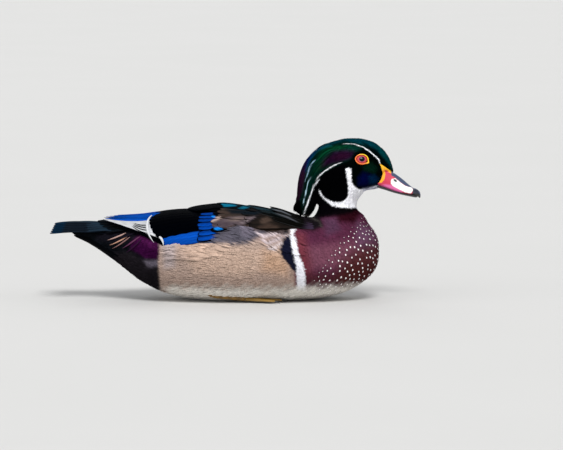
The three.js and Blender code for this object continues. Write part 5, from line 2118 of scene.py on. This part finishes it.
@dataclass
class SidePlumes:
    """The soft plumes of one flank that lie over the folded wing's lower edge."""

    side: Side
    count: int = 420
    seed: int = 41
    thick: float = 0.2
    run: Pair = (-94, 42)
    reach_down: float = 13
    length: Pair = (13, 21)
    half: Pair = (0.7, 1.3)
    height: float = 4.5
    shade: float = 0.12
    bars: float = 0.3
    edge: Knots = (
        (-92, 63), (-79, 68), (-63, 71.4), (-49, 71), (-37, 65), (-26, 58.6),
        (-16, 56.3), (-5, 56.1), (8, 58.8), (26, 60), (42, 59), (60, 58),
    )

    def build(self) -> None:
        """Lays the plumes with their tips along the edge and places them."""
        rng = np.random.default_rng(self.seed)
        rows, columns = 8, 3
        t = np.linspace(0, 1, rows)[None, :, None]
        c = np.linspace(-1, 1, columns)[None, None, :]

        def spread(low: float, high: float) -> Array:
            """Random sizes, one for each plume."""
            return rng.uniform(low, high, (self.count, 1, 1))

        tip_x = spread(*self.run)
        under = spread(0, 1) ** 1.2 * self.reach_down
        tip_girth = curve_of(self.edge)(tip_x) + under
        length = spread(*self.length)
        root_girth = tip_girth + spread(0.5, 4.5) + 3 * eased(-20, 30, tip_x)
        width = spread(*self.half) * np.interp(t, [0, 0.2, 0.6, 1], [0.5, 1, 0.8, 0.1])
        x = tip_x + length * (1 - t) + 0 * c
        girth = root_girth + (tip_girth - root_girth) * t**1.6 + c * width
        high = self.height - under * 0.15 + spread(-0.4, 0.3)
        height = 0.6 + (high - 0.6) * np.clip(t * 1.6, 0, 1) ** 0.7 + 0.15 * (1 - c**2)
        top = CHART.over(self.side.value, x, girth, height)
        if self.side is Side.LEFT:
            top = top[:, :, ::-1]
        shape = vane_solid(top, self.thick, 0, self.count)
        lower = CHART.over(self.side.value, x, girth + 4 - under * 0.2, 1.5)
        both = np.concatenate([lower.reshape(self.count, -1, 3)] * 2, axis=1)
        tint = PLUMAGE.tint(both.reshape(-1, 3), 2.0).reshape(self.count, -1, 4)
        tint[..., :3] *= np.exp(rng.normal(0, self.shade, (self.count, 1, 1)))
        marks = np.zeros((len(shape.points), 3))
        marks[:, 2] = self.bars
        shape.painted(tint.reshape(-1, 4), marks)
        place_piece(f"side_plumes_{self.side.name.lower()}", shape, Finish.SOFT, "flank")


@dataclass(frozen=True)
class TailRow:
    """A row of tail feathers on one side, from the middle outwards."""

    count: int
    root: Triple
    tip: Triple
    root_step: Triple
    tip_step: Triple
    half: float
    arch: float
    tilt: float
    paint: Paint
    shape: VaneShape

    def grid(self, side: Side) -> Array:
        """Lays the upper faces of the row's feathers on one side of the bird.

        Args:
            side: the bird's side.

        Returns:
            Feathers by rows by columns by 3, the columns turned so that the faces point up.
        """
        k = np.arange(self.count)[:, None, None, None]
        t = self.shape.stations()[None, :, None]
        c = np.linspace(-1, 1, self.shape.columns)[None, None, :]
        root = np.array(self.root) + np.array(self.root_step) * k
        tip = np.array(self.tip) + np.array(self.tip_step) * k
        spot = np.repeat(blended(root, tip, t[..., None]), self.shape.columns, axis=2)
        off = c * self.half * self.shape.half(t)
        spot[..., 1] = (spot[..., 1] + off * math.cos(self.tilt)) * side.value
        dome = 0.5 * (1 - c**2) * self.shape.half(t)
        spot[..., 2] += self.arch * 4 * t * (1 - t) - off * math.sin(self.tilt) + dome
        return spot[:, :, ::-1] if side is Side.RIGHT else spot


@dataclass
class Tail:
    """The tail: its long feathers, their coverts above and below, and the plumes beside the rump."""

    thick: float = 0.4
    rows: tuple[TailRow, ...] = (
        TailRow(
            6, (-146, 4.1, 77.6), (-205, 5.0, 79.6), (0.6, 3.1, -1.5), (-0.75, 3.9, -1.6), 4.7, 2.6, 0.16,
            Paint("141c26", "0c2834", "052238", 0.66, 0.1, "04070c", 0.1), SQUARED,
        ),
        TailRow(
            5, (-132, 3.2, 78.0), (-182, 3.6, 81.4), (0, 4.4, -1.0), (2.6, 4.6, -2.0), 3.9, 1.2, 0.26,
            Paint("1a2632", "18303c", gloss=0.1, rim="0a1016", rim_wide=0.1), ROUNDED,
        ),
        TailRow(
            5, (-118, 3.2, 81.2), (-160, 3.4, 82.4), (0, 5.2, -1.3), (2.4, 5.2, -2.4), 4.2, 0.8, 0.26,
            Paint("0a0d12", "0b1419", gloss=0.1, rim="05070a", rim_wide=0.1), ROUNDED,
        ),
    )

    def build(self) -> None:
        """Places the tail's feathers."""
        rows = enumerate(self.rows)
        laid = [(row.grid(side), self.thick, row.paint, k) for side, (k, row) in product(Side, rows)]
        tiers = self.coverts_below() + self.rump_plumes()
        laid += [(tier.grid(side, k), tier.thick, tier.paint, k) for k, (side, tier) in enumerate(tiers)]
        total = sum(len(grid) for grid, *_ in laid)
        shapes: list[Shape] = []
        order = 0
        for grid, thick, paint, seed in laid:
            shape = vane_solid(grid, thick, order, total)
            shapes.append(shape.painted(*paint.tints(grid.shape[:3], seed)))
            order += len(grid)
        place_piece("tail_feathers", joined(shapes), Finish.FLIGHT, "tail", "tail")

    def girth(self, x: float, share: float) -> Pair:
        """A place on the torso's chart, by its share of the girth."""
        return x, share * float(np.interp(x, CHART.x, CHART.total))

    def coverts_below(self) -> list[tuple[Side, Tier]]:
        """Sizes the dark coverts under the tail.

        Returns:
            A tier for each side.
        """
        paint = Paint("0a0c10", "0c0e12", gloss=0.0, rim="050608", rim_wide=0.12)
        root = (self.girth(-138, 0.66), self.girth(-136, 0.94))
        tip = (self.girth(-178, 0.62), self.girth(-184, 0.9))
        return [(side, Tier(4, root, tip, (4.2, 4), (0.4, 0.8), paint)) for side in Side]

    def rump_plumes(self) -> list[tuple[Side, Tier]]:
        """Sizes the long thin plumes that hang beside the rump, pale to dark purple.

        Returns:
            One tier for each plume, with its side.
        """
        runs = (
            ((-129.2, 30.7), (-148.1, 33.4), 0.85, "d8b0a6"),
            ((-127.1, 35.6), (-145.4, 39.0), 0.75, "dca890"),
            ((-125.0, 37.6), (-142.8, 43.4), 0.7, "a87e7c"),
            ((-113.4, 40.5), (-131.8, 47.0), 0.9, "7a4468"),
            ((-116.0, 33.0), (-136.0, 36.5), 0.9, "211c28"),
            ((-112.0, 45.0), (-128.0, 53.0), 1.0, "3a1c3a"),
        )
        made = []
        for side in Side:
            for root, tip, half, code in runs:
                paint = Paint(code, code, gloss=0.0, shade=0.05)
                sizes = ((root, root), (tip, tip), (half, half), (1.5, 1.5))
                made.append((side, Tier(1, *sizes, paint, WISPY, camber=0.3)))
        return made


@dataclass(frozen=True)
class Locks:
    """A group of locks, with the ranges of their place round the nape, their root and their height."""

    count: int
    angle: Pair
    start: Pair
    high: Pair


@dataclass
class Crest:
    """The long silky locks that hang from the nape."""

    hanging: Locks = Locks(620, (-math.pi, math.pi), (0.6, 5.4), (-0.3, 0.7))
    rear_foot: Locks = Locks(120, (-1.1, 1.1), (4.6, 6.4), (0.3, 1.6))
    front: Locks = Locks(110, (math.pi - 0.9, math.pi + 0.9), (2.8, 5.2), (0.2, 2.2))
    length: Pair = (2.2, 3.4)
    half: Pair = (0.05, 0.11)
    root: float = -1.9
    end: float = 7.85
    seed: int = 23
    thick: float = 0.25
    shade: float = 0.22

    def build(self) -> None:
        """Lays the locks round the crest in layers and places them."""
        rng = np.random.default_rng(self.seed)
        groups = (self.hanging, self.rear_foot, self.front)
        total = sum(group.count for group in groups)
        rows, columns = 12, 3
        t = np.linspace(0, 1, rows)[None, :, None]
        c = np.linspace(-1, 1, columns)[None, None, :]

        def spread(low: float, high: float, count: int = total) -> Array:
            """Random sizes, one for each lock."""
            return rng.uniform(low, high, (count, 1, 1))

        angle = np.concatenate([spread(*group.angle, group.count) for group in groups])
        start = np.concatenate([spread(*group.start, group.count) for group in groups])
        high = np.concatenate([spread(*group.high, group.count) for group in groups])
        turned = np.abs(np.angle(np.exp(1j * angle))) / math.pi
        reach = self.end - 0.3 * turned**1.5 + spread(-0.5, 0.15)
        end = np.minimum(start + spread(*self.length), reach)
        place = start + (end - start) * t
        width = spread(*self.half) * np.interp(t, [0, 0.15, 0.6, 1], [0.5, 1, 0.9, 0.12])
        height = self.root + (high - self.root) * np.clip(t * 3, 0, 1)
        drift = rng.normal(0, 0.05, (total, 1, 1)) * t
        across = angle + drift + c * width * (1 + 0.1 * place)
        top = CREST.point(place + 0 * c, across, height + 0.18 * (1 - c**2))
        shape = vane_solid(top, self.thick, 0, total)
        tint = PLUMAGE.tint(shape.points, 3.0).reshape(total, -1, 4)
        tint[..., :3] *= np.exp(rng.normal(0, self.shade, (total, 1, 1)))
        shape.painted(tint.reshape(-1, 4))
        del shape.values["edge"]
        place_piece("crest_locks", outward(shape), Finish.SILKY, "head", "crest")


# ---- bill, eyes and feet


@dataclass
class Bill:
    """The bill: both halves, with the bare plates that run up beside the forehead."""

    nostril: Pair = (152.2, 125.2)
    nostril_tilt: float = 0.62
    nostril_size: Pair = (2.6, 1.35)
    nostril_deep: float = 1.9
    nostril_rim: float = 0.22
    nostril_shade_size: Pair = (2.5, 1.3)
    nail: float = 171.8
    nail_groove: float = 0.25
    voxels: Pair = (0.42, 0.5)
    smoothing: int = 4
    plate_row: float = 162.6
    plate_deep: float = 23.6
    plate_rear: Knots = ((0, 378.9), (0.3, 381.2), (0.55, 382.3), (0.8, 380.2), (1, 378.3))
    plate_rise: float = 1.15
    plate_sunk: float = 2.0

    def build(self, skin: Skin) -> None:
        """Places both halves and the comb along the upper one's edge.

        Args:
            skin: the skin that carries the bare plates.
        """
        plates = [self.plate(skin, side) for side in Side]
        flesh = joined([loft(UPPER_BILL.rings(72, 0.5)), *plates])
        points, _, faces = fused("upper", flesh, self.voxels[0], self.smoothing)
        self.carve(points)
        upper = Shape(points, [faces]).painted(self.tint(points))
        place_piece("bill_upper_horn", upper, Finish.HORN, "bill", "bill_upper")
        flesh = loft(LOWER_BILL.rings(64, 0.5))
        points, _, faces = fused("lower", flesh, self.voxels[1], self.smoothing)
        lower = Shape(points, [faces]).plain(colour("1c1a20"))
        place_piece("bill_lower_horn", lower, Finish.HORN, "bill", "bill_lower")
        self.comb()

    def plate(self, skin: Skin, side: Side) -> Shape:
        """Lays the bare plate of one side of the face on the skin.

        Args:
            skin: the skin.
            side: the bird's side.

        Returns:
            One closed shape.
        """
        rows, columns = 26, 20
        down, out = np.linspace(0, 1, rows), np.linspace(0, 1, columns)
        rear = curve_of(self.plate_rear)(down)
        drop = self.plate_deep * down
        ahead = np.where(down < 0.42, 381 + drop * 1.25, 393.5)
        column = rear[:, None] + (ahead - rear)[:, None] * out[None, :]
        row = (self.plate_row + drop)[:, None] + 1.5 * out[None, :] * (1 - down[:, None])
        x = (column - VIEW.column) * VIEW.pitch
        z = VIEW.draft + (VIEW.water_row - row) * VIEW.pitch + 0.9
        places = np.stack([x, np.full_like(x, 30.0 * side.value), z], axis=-1).reshape(-1, 3)
        spots = np.empty_like(places)
        for i, place in enumerate(places.tolist()):
            hit = skin.tree.ray_cast(place, (0, -side.value, 0))[0]
            spots[i] = hit if hit is not None else (place[0], 4.0 * side.value, place[2])
        edge = np.minimum(out[None, :] * 6, np.minimum(down, 1 - down)[:, None] * 8)
        top, low = spots.copy(), spots.copy()
        top[:, 1] += side.value * self.plate_rise * eased(0, 1, edge).ravel()
        low[:, 1] -= side.value * self.plate_sunk
        return outward(Shape(np.concatenate([top, low]), [closed_faces(rows, columns)]))

    def round_nostril(self, points: Array, size: Pair) -> Array:
        """Distance from the nostril's middle.

        Args:
            points: places on the bill.
            size: half length and half height of the nostril.

        Returns:
            One distance per place, 1 at the nostril's rim.
        """
        dx, dz = points[:, 0] - self.nostril[0], points[:, 2] - self.nostril[1]
        sine, cosine = math.sin(self.nostril_tilt), math.cos(self.nostril_tilt)
        return np.hypot((dx * cosine - dz * sine) / size[0], (dx * sine + dz * cosine) / size[1])

    def carve(self, points: Array) -> None:
        """Sinks the nostrils, raises their rims and sets off the nail.

        Args:
            points: the upper half's points, which are moved.
        """
        x, y = points[:, 0], points[:, 1]
        ring = self.round_nostril(points, self.nostril_size)
        rim = self.nostril_rim * np.exp(-(((ring - 1.25) / 0.25) ** 2))
        y -= np.sign(y) * (self.nostril_deep * eased(1.0, 0.45, ring) - rim)
        points[:, 2] += 0.35 * eased(171.5, 173, x) * eased(5.2, 3.6, np.abs(y))
        groove = np.exp(-(((x - self.nail) / 0.6) ** 2)) * eased(6, 4, np.abs(y))
        points[:, 2] -= self.nail_groove * groove * (points[:, 2] > 112)

    def tint(self, points: Array) -> Array:
        """Colours of the upper half.

        Args:
            points: its points.

        Returns:
            Four columns: linear red, green and blue, and no iridescence.
        """
        place = VIEW.place(points)
        place = place + 0.2 * np.column_stack([wander(points, 1.4, 2), wander(points, 1.6, 5)])
        tint = np.zeros((len(points), 4))
        for mark in BILL_MARKS:
            mark.lay(place, tint)
        # painted shade: the nostril's hollow is painted darker, most at its middle
        hollow = eased(1.0, 0.6, self.round_nostril(points, self.nostril_shade_size))
        tint[:, :3] *= (1 - 0.9 * hollow)[:, None]
        return tint

    def comb(self) -> None:
        """Places the fine plates along the inside of the upper half's edge."""
        paths = []
        for side in Side:
            x = np.linspace(142, 170, 44)
            edge = UPPER_BILL.point(x, np.full_like(x, math.pi * 0.74))
            edge[:, 1] = (edge[:, 1] - 1.2) * side.value
            edge[:, 2] -= 0.2
            paths.append(edge)
        plates = repeated_along("bill_comb", paths, 0.16, (0.5, 1.3), 0.62, Finish.HORN, "6d5a5c")
        place_piece("bill_comb", plates, Finish.HORN, "bill")


def repeated_along(
    name: str,
    paths: Sequence[Array],
    thick: float,
    size: Pair,
    step: float,
    finish: Finish,
    code: str,
) -> bpy.types.Mesh:
    """Repeats a small rounded plate along paths, by Geometry Nodes.

    Args:
        name: name of the mesh and the tree.
        paths: points of each path.
        thick: thickness of a plate along the path.
        size: its width and height.
        step: distance between plates.
        finish: their finish.
        code: their display colour.

    Returns:
        The plates as one mesh.
    """
    curve = bpy.data.curves.new(name + "_path", "CURVE")
    curve.dimensions = "3D"
    for path in paths:
        spline = curve.splines.new("POLY")
        spline.points.add(len(path) - 1)
        spline.points.foreach_set("co", np.column_stack([path * MM, np.ones(len(path))]).ravel())
    tree = bpy.data.node_groups.new(name + "_plates", "GeometryNodeTree")
    face = tree.interface
    face.new_socket("Geometry", in_out="INPUT", socket_type="NodeSocketGeometry")
    sizes = {"Step": step, "Thickness": thick, "Width": size[0], "Height": size[1]}
    sockets = {key: face.new_socket(key, in_out="INPUT", socket_type="NodeSocketFloat") for key in sizes}
    face.new_socket("Geometry", in_out="OUTPUT", socket_type="NodeSocketGeometry")
    g = Graph(tree)
    result = g.add("NodeGroupOutput")
    given = g.add("NodeGroupInput").outputs
    spots = g.add("GeometryNodeCurveToPoints", mode="LENGTH")
    g.fill(spots, {"Curve": given["Geometry"], "Length": given["Step"]})
    plate = g.fill(g.add("GeometryNodeMeshUVSphere"), {"Segments": 8, "Rings": 5, "Radius": 1.0})
    scale = {"X": given["Width"], "Y": given["Height"], "Z": given["Thickness"]}
    laid = {
        "Points": spots.outputs["Points"],
        "Instance": plate,
        "Rotation": spots.outputs["Rotation"],
        "Scale": g.fill(g.add("ShaderNodeCombineXYZ"), scale),
    }
    plates = g.fill(g.add("GeometryNodeInstanceOnPoints"), laid)
    plates = g.fill(g.add("GeometryNodeRealizeInstances"), {"Geometry": plates})
    plates = g.fill(g.add("GeometryNodeSetMaterial"), {"Material": finish.material(), "Geometry": plates})
    g.feed(result.inputs[0], plates)
    holder = linked(name + "_holder", curve)
    nodes = holder.modifiers.new("plates", "NODES")
    nodes.node_group = tree
    for key, value in sizes.items():
        nodes[sockets[key].identifier] = value * MM
    mesh = applied(holder)
    mesh.name = name
    tint = np.tile(np.array([*colour(code), 1.0], np.float32), len(mesh.vertices))
    mesh.attributes.new("tint", "FLOAT_COLOR", "POINT").data.foreach_set("color", tint)
    return mesh


@dataclass
class Eye:
    """One eye with its bare lids."""

    side: Side
    place: Pair = EYE_PLACE
    ball: Triple = (6.2, 5.0, 3.0)
    opening: Pair = (5.7, 4.4)
    sunk: float = 1.9
    lid: Pair = (6.45, 5.2)
    lid_high: float = 0.7
    looks: Triple = (0.1, 0.93, 0.34)

    def build(self) -> None:
        """Places the eyeball and its lids."""
        x, z = self.place
        top, waist = (float(HEAD.size(k)(x)) for k in (1, 4))
        angle = math.acos(((z - waist) / (top - waist)) ** (HEAD.fullness / 2))
        here = HEAD.point(x, angle) * np.array([1, self.side.value, 1])
        out = unit(np.array(self.looks) * np.array([1, self.side.value, 1]))
        forward = across_of(np.array([1.0, 0, 0]), out)
        up = np.cross(forward, out)
        axes = np.array([forward, up if up[2] > 0 else -up, out])
        self.place_ball(here, axes)
        self.place_lids(here, axes)

    def placed(self, here: Array, axes: Array, local: Array) -> Array:
        """Turns the eye's own points into the bird's.

        Args:
            here: middle of the eye on the head.
            axes: directions of the eye's front, top and outside.
            local: points of the eye along these three.

        Returns:
            The points on the bird.
        """
        return here + local[..., :1] * axes[0] + local[..., 1:2] * axes[1] + local[..., 2:] * axes[2]

    def place_ball(self, here: Array, axes: Array) -> None:
        """Places the eyeball, a flattened ball with its map drawn from the pupil outwards.

        Args:
            here: middle of the eye on the head.
            axes: directions of the eye's front, top and outside.
        """
        points, turn = ball(30, 56, 0.02)
        local = points * np.array(self.ball)
        shape = loft(self.placed(here - axes[2] * self.sunk, axes, local))
        long, high = self.opening
        flat = np.hypot(local[..., 0], local[..., 1])
        edge = long * high / np.hypot(high * np.cos(turn), long * np.sin(turn))
        share = np.clip(flat / edge, 0, 1) ** 2
        reach = 0.5 * flat / (high * (1 - share) + edge * share)
        vane = np.stack([turn / (2 * math.pi), np.where(local[..., 2] > 0, reach, 1.0)], axis=-1)
        shape.values["vane"] = np.concatenate([vane.reshape(-1, 2), [[0.0, 0.0], [0.0, 1.0]]])
        shape.plain(np.array([0.3, 0.02, 0.01]))
        side = self.side.name.lower()
        place_piece(f"eyeball_{side}", shape, Finish.EYE, "eye", f"eye_{side}")

    def place_lids(self, here: Array, axes: Array) -> None:
        """Places the ring of bare lids, drawn to a point at the front lower corner.

        Args:
            here: middle of the eye on the head.
            axes: directions of the eye's front, top and outside.
        """
        around, ring = 96, 14
        turn = np.linspace(0, 2 * math.pi, around, endpoint=False)
        spin = np.linspace(0, 2 * math.pi, ring, endpoint=False)
        corner = np.exp(-((np.angle(np.exp(1j * (turn + 0.55))) / 0.3) ** 2))
        rear = np.exp(-((np.angle(np.exp(1j * (turn - math.pi + 0.1))) / 0.35) ** 2))
        grow = 1 + 0.2 * corner + 0.03 * rear
        long, high = self.lid
        middle = np.stack([long * np.cos(turn) * grow, high * np.sin(turn) * grow], axis=-1)
        slope = np.roll(middle, -1, axis=0) - np.roll(middle, 1, axis=0)
        normal = unit(np.stack([slope[:, 1], -slope[:, 0]], axis=-1))
        wide = 0.66 + 0.2 * corner
        flat = middle[:, None, :] + normal[:, None, :] * (np.cos(spin)[None, :] * wide[:, None])[..., None]
        bow = 0.45 - 0.018 * (flat[..., 0] ** 2) - 0.02 * flat[..., 1] ** 2
        rise = np.sin(spin)[None, :] * self.lid_high + bow
        points = self.placed(here, axes, np.concatenate([flat, rise[..., None]], axis=-1))
        number = np.arange(around * ring).reshape(around, ring)
        ahead = np.roll(number, -1, axis=0)
        loop = (number, ahead, np.roll(ahead, -1, axis=1), np.roll(number, -1, axis=1))
        shape = outward(Shape(points.reshape(-1, 3), [np.stack(loop, axis=-1).reshape(-1, 4)]))
        warm = eased(0.35, 0.85, 0.5 + 0.5 * np.cos(turn - 0.6))[:, None]
        tint = blended(colour("f0701c"), colour("ffcc00"), warm)[:, None, :]
        # painted shade: the inner side of the lid ring, towards the eyeball, takes 0.7 of its colour
        inner = (np.cos(spin) < -0.35)[None, :, None]
        shape.plain(np.where(inner, tint * 0.7, tint).reshape(-1, 3))
        place_piece(f"eyelids_{self.side.name.lower()}", shape, Finish.LID, "eye")


def tube(line: Array, half: Array, around: int, wide: float, high: float) -> Shape:
    """Skins a tube round a line that runs over the floor.

    Args:
        line: points of its middle line.
        half: half thickness at each.
        around: points in a ring.
        wide: how much of it counts sideways.
        high: how much of it counts upwards.

    Returns:
        One closed shape.
    """
    turn = np.linspace(0, 2 * math.pi, around, endpoint=False)
    across = unit(np.cross([0, 0, 1.0], line[-1] - line[0]))
    rings = line[:, None, :] + across * (np.cos(turn)[None, :] * half[:, None] * wide)[..., None]
    return loft(rings + np.array([0, 0, 1.0]) * (np.sin(turn)[None, :] * half[:, None] * high)[..., None])


@dataclass
class Foot:
    """One webbed foot, tucked under the belly, with its leg."""

    side: Side
    joint: Pair = (-4.0, 37.0)
    toes: tuple[Pair, ...] = ((31, -0.34), (44, -0.02), (38, 0.36))
    toe_half: Pair = (2.6, 1.5)
    toe_end: float = 0.86
    knuckle: float = 0.14
    claw_start: float = 0.84
    claw_half: float = 1.2
    scute: Pair = (1.25, 0.5)
    scute_step: float = 1.15
    voxel: float = 0.5
    smoothing: int = 4
    web_top: float = 1.9
    web_thick: float = 1.1
    leg_ribs: tuple[tuple[float, float, float, float], ...] = (
        (-5, 4.2, 2.4, 2.6), (-22, 5.6, 2.3, 2.4), (-37, 8, 3.0, 3.0),
        (-42, 11, 3.2, 3.3), (-38, 16.5, 3.5, 3.3), (-30, 24, 4.4, 3.3),
    )

    def tip(self, toe: Pair, share: float) -> Array:
        """Finds a place on the floor plan along a toe.

        Args:
            toe: its length and direction.
            share: how far along the toe.

        Returns:
            X and Y.
        """
        reach, spread = toe
        x, y = self.joint
        ahead, aside = reach * share * math.cos(spread), reach * share * math.sin(spread)
        return np.array([x + ahead, self.side.value * (y + aside)])

    def build(self) -> None:
        """Places the toes with their webs, scutes and claws, and the leg."""
        side = self.side.name.lower()
        flesh = joined([*(self.toe(toe) for toe in self.toes), self.web()])
        points, _, faces = fused("foot", flesh, self.voxel, self.smoothing)
        points[:, 2] = np.maximum(points[:, 2], 0.0)
        toes = eased(self.web_top, 2.6, points[:, 2])[:, None]
        foot = Shape(points, [faces]).plain(blended(colour("2e281c"), colour("86651f"), toes))
        place_piece(f"webbed_foot_{side}", foot, Finish.SCUTE, "feet", f"foot_{side}")
        place_piece(f"shank_{side}", self.leg(), Finish.SCUTE, "feet", f"leg_{side}")
        place_piece(f"toe_scutes_{side}", self.scutes(), Finish.SCUTE, "feet")
        place_piece(f"claws_{side}", self.claws(), Finish.HORN, "feet")

    def path(self, toe: Pair, last: float) -> tuple[Array, Array]:
        """Lays the middle line of a toe.

        Args:
            toe: its length and direction.
            last: share of the length at which the line ends.

        Returns:
            Points of the line and the share of the length at each.
        """
        share = np.linspace(0, last, 26)
        flat = np.array([self.tip(toe, s) for s in share])
        return np.column_stack([flat, 3.4 - 1.5 * share]), share

    def toe(self, toe: Pair) -> Shape:
        """Shapes a toe with its knuckles.

        Args:
            toe: its length and direction.

        Returns:
            One closed shape.
        """
        line, share = self.path(toe, self.toe_end)
        root, end = self.toe_half
        knuckle = 1 + self.knuckle * np.cos(share * 2 * math.pi * 3)
        return tube(line, (root - (root - end) * share) * knuckle, 16, 1.0, 0.95)

    def web(self) -> Shape:
        """Shapes the web between the toes, scalloped at its edge.

        Returns:
            One closed shape.
        """
        x, y = self.joint[0], self.joint[1] * self.side.value
        arcs = []
        for f in np.linspace(0, 1, 25):
            k = min(int(f * 2), 1)
            part = f * 2 - k
            a, b = (self.tip(self.toes[n], self.claw_start) for n in (k, k + 1))
            start = np.array([x, y])
            dip = 1 - 0.28 * 4 * part * (1 - part) * 0.8
            arcs.append(start + (a + (b - a) * part - start) * dip)
        start = np.array([x - 1, y])
        flat = start + (np.array(arcs)[:, None, :] - start) * np.linspace(0.02, 1, 18)[None, :, None]
        top = np.concatenate([flat, np.full((*flat.shape[:2], 1), self.web_top)], axis=-1)
        points = np.concatenate([top, top - np.array([0, 0, self.web_thick])]).reshape(-1, 3)
        return outward(Shape(points, [closed_faces(*flat.shape[:2])]))

    def leg(self) -> Shape:
        """Shapes the leg, from the foot's joint to the heel and up into the flank.

        Returns:
            One closed shape.
        """
        rings = BentTube(np.array(self.leg_ribs)).rings(28, 0.12)
        rings[..., 1] += self.joint[1] * self.side.value * 1.01
        shape = loft(rings)
        return shape.plain(colour("7a5a20") * (1 + 0.25 * np.sin(shape.points[:, 0] * 2.4))[:, None])

    def scutes(self) -> bpy.types.Mesh:
        """Lays overlapping scutes along the top of each toe.

        Returns:
            The scutes as one mesh.
        """
        paths = []
        for toe in self.toes:
            line, share = self.path(toe, 0.82)
            line[:, 2] += (2.5 - 1.1 * share) * 0.78
            paths.append(line[3:])
        name = f"toe_scutes_{self.side.name.lower()}"
        return repeated_along(name, paths, 0.75, self.scute, self.scute_step, Finish.SCUTE, "86651f")

    def claws(self) -> Shape:
        """Shapes a claw at the end of each toe.

        Returns:
            The claws as one shape.
        """
        share = np.linspace(0, 1, 12)
        shapes = []
        for toe in self.toes:
            flat = np.array([self.tip(toe, self.claw_start + (1 - self.claw_start) * s) for s in share])
            line = np.column_stack([flat, 2.2 - 1.3 * share**1.5])
            shapes.append(tube(line, self.claw_half * (1 - share) ** 0.7 + 0.12, 12, 0.8, 0.9))
        return joined(shapes).plain(colour("17130f"))


# ---- studio


@dataclass
class Studio:
    """Floor, lights and camera."""

    distance: float = 4.0
    lens: float = 243.6
    aim: Triple = (0.03308, 0.0, 0.07805)
    elevation: float = math.radians(5)
    lights: tuple[tuple[str, Triple, float, float], ...] = (
        ("key", (0.12, -1.0, 1.2), 22, 2.45),
        ("fill", (-1.2, -0.8, 0.7), 60, 0.7),
        ("front", (1.3, -0.7, 0.6), 60, 0.35),
        ("rim", (-0.3, 1.0, 0.9), 40, 0.35),
    )
    air: tuple[float, float, float, float] = (0.95, 0.97, 1.0, 1)
    air_strength: float = 0.5

    def build(self) -> None:
        """Makes the floor, the lights and the camera."""
        bpy.ops.mesh.primitive_circle_add(vertices=96, radius=60, fill_type="NGON")
        floor = bpy.context.object
        floor.name = "floor"
        floor.data.materials.append(Finish.FLOOR.material())
        for light in self.lights:
            self.light(*light)
        scene = bpy.context.scene
        scene.world = bpy.data.worlds.new("studio")
        scene.world.use_nodes = True
        back = scene.world.node_tree.nodes["Background"]
        back.inputs["Color"].default_value = self.air
        back.inputs["Strength"].default_value = self.air_strength
        camera = linked("camera", bpy.data.cameras.new("camera"))
        camera.data.lens = self.lens
        camera.data.sensor_width = 36
        camera.data.clip_end = 200
        away = Vector((0, -math.cos(self.elevation), math.sin(self.elevation)))
        camera.location = Vector(self.aim) + away * self.distance
        camera.rotation_euler = (-away).to_track_quat("-Z", "Y").to_euler()
        scene.camera = camera
        scene.view_settings.view_transform = "Standard"

    def light(self, name: str, way: Triple, spread: float, power: float) -> None:
        """Adds one broad, far light.

        Args:
            name: its name.
            way: where it stands, seen from the bird.
            spread: how wide it is, in degrees.
            power: its strength.
        """
        data = bpy.data.lights.new(name, "SUN")
        data.angle = math.radians(spread)
        data.energy = power
        linked(name, data).rotation_euler = Vector(way).to_track_quat("Z", "Y").to_euler()


def main() -> None:
    """Builds the bird piece by piece, then the studio round it."""
    logging.basicConfig(level=logging.INFO, format="%(message)s")
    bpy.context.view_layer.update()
    skin = Skin()
    skin.build()
    Coat(skin).build()
    for side in Side:
        Wing(side).build()
        SidePlumes(side).build()
        Eye(side).build()
        Foot(side).build()
    Tail().build()
    Crest().build()
    Bill().build(skin)
    Studio().build()


if __name__ == "__main__":
    main()
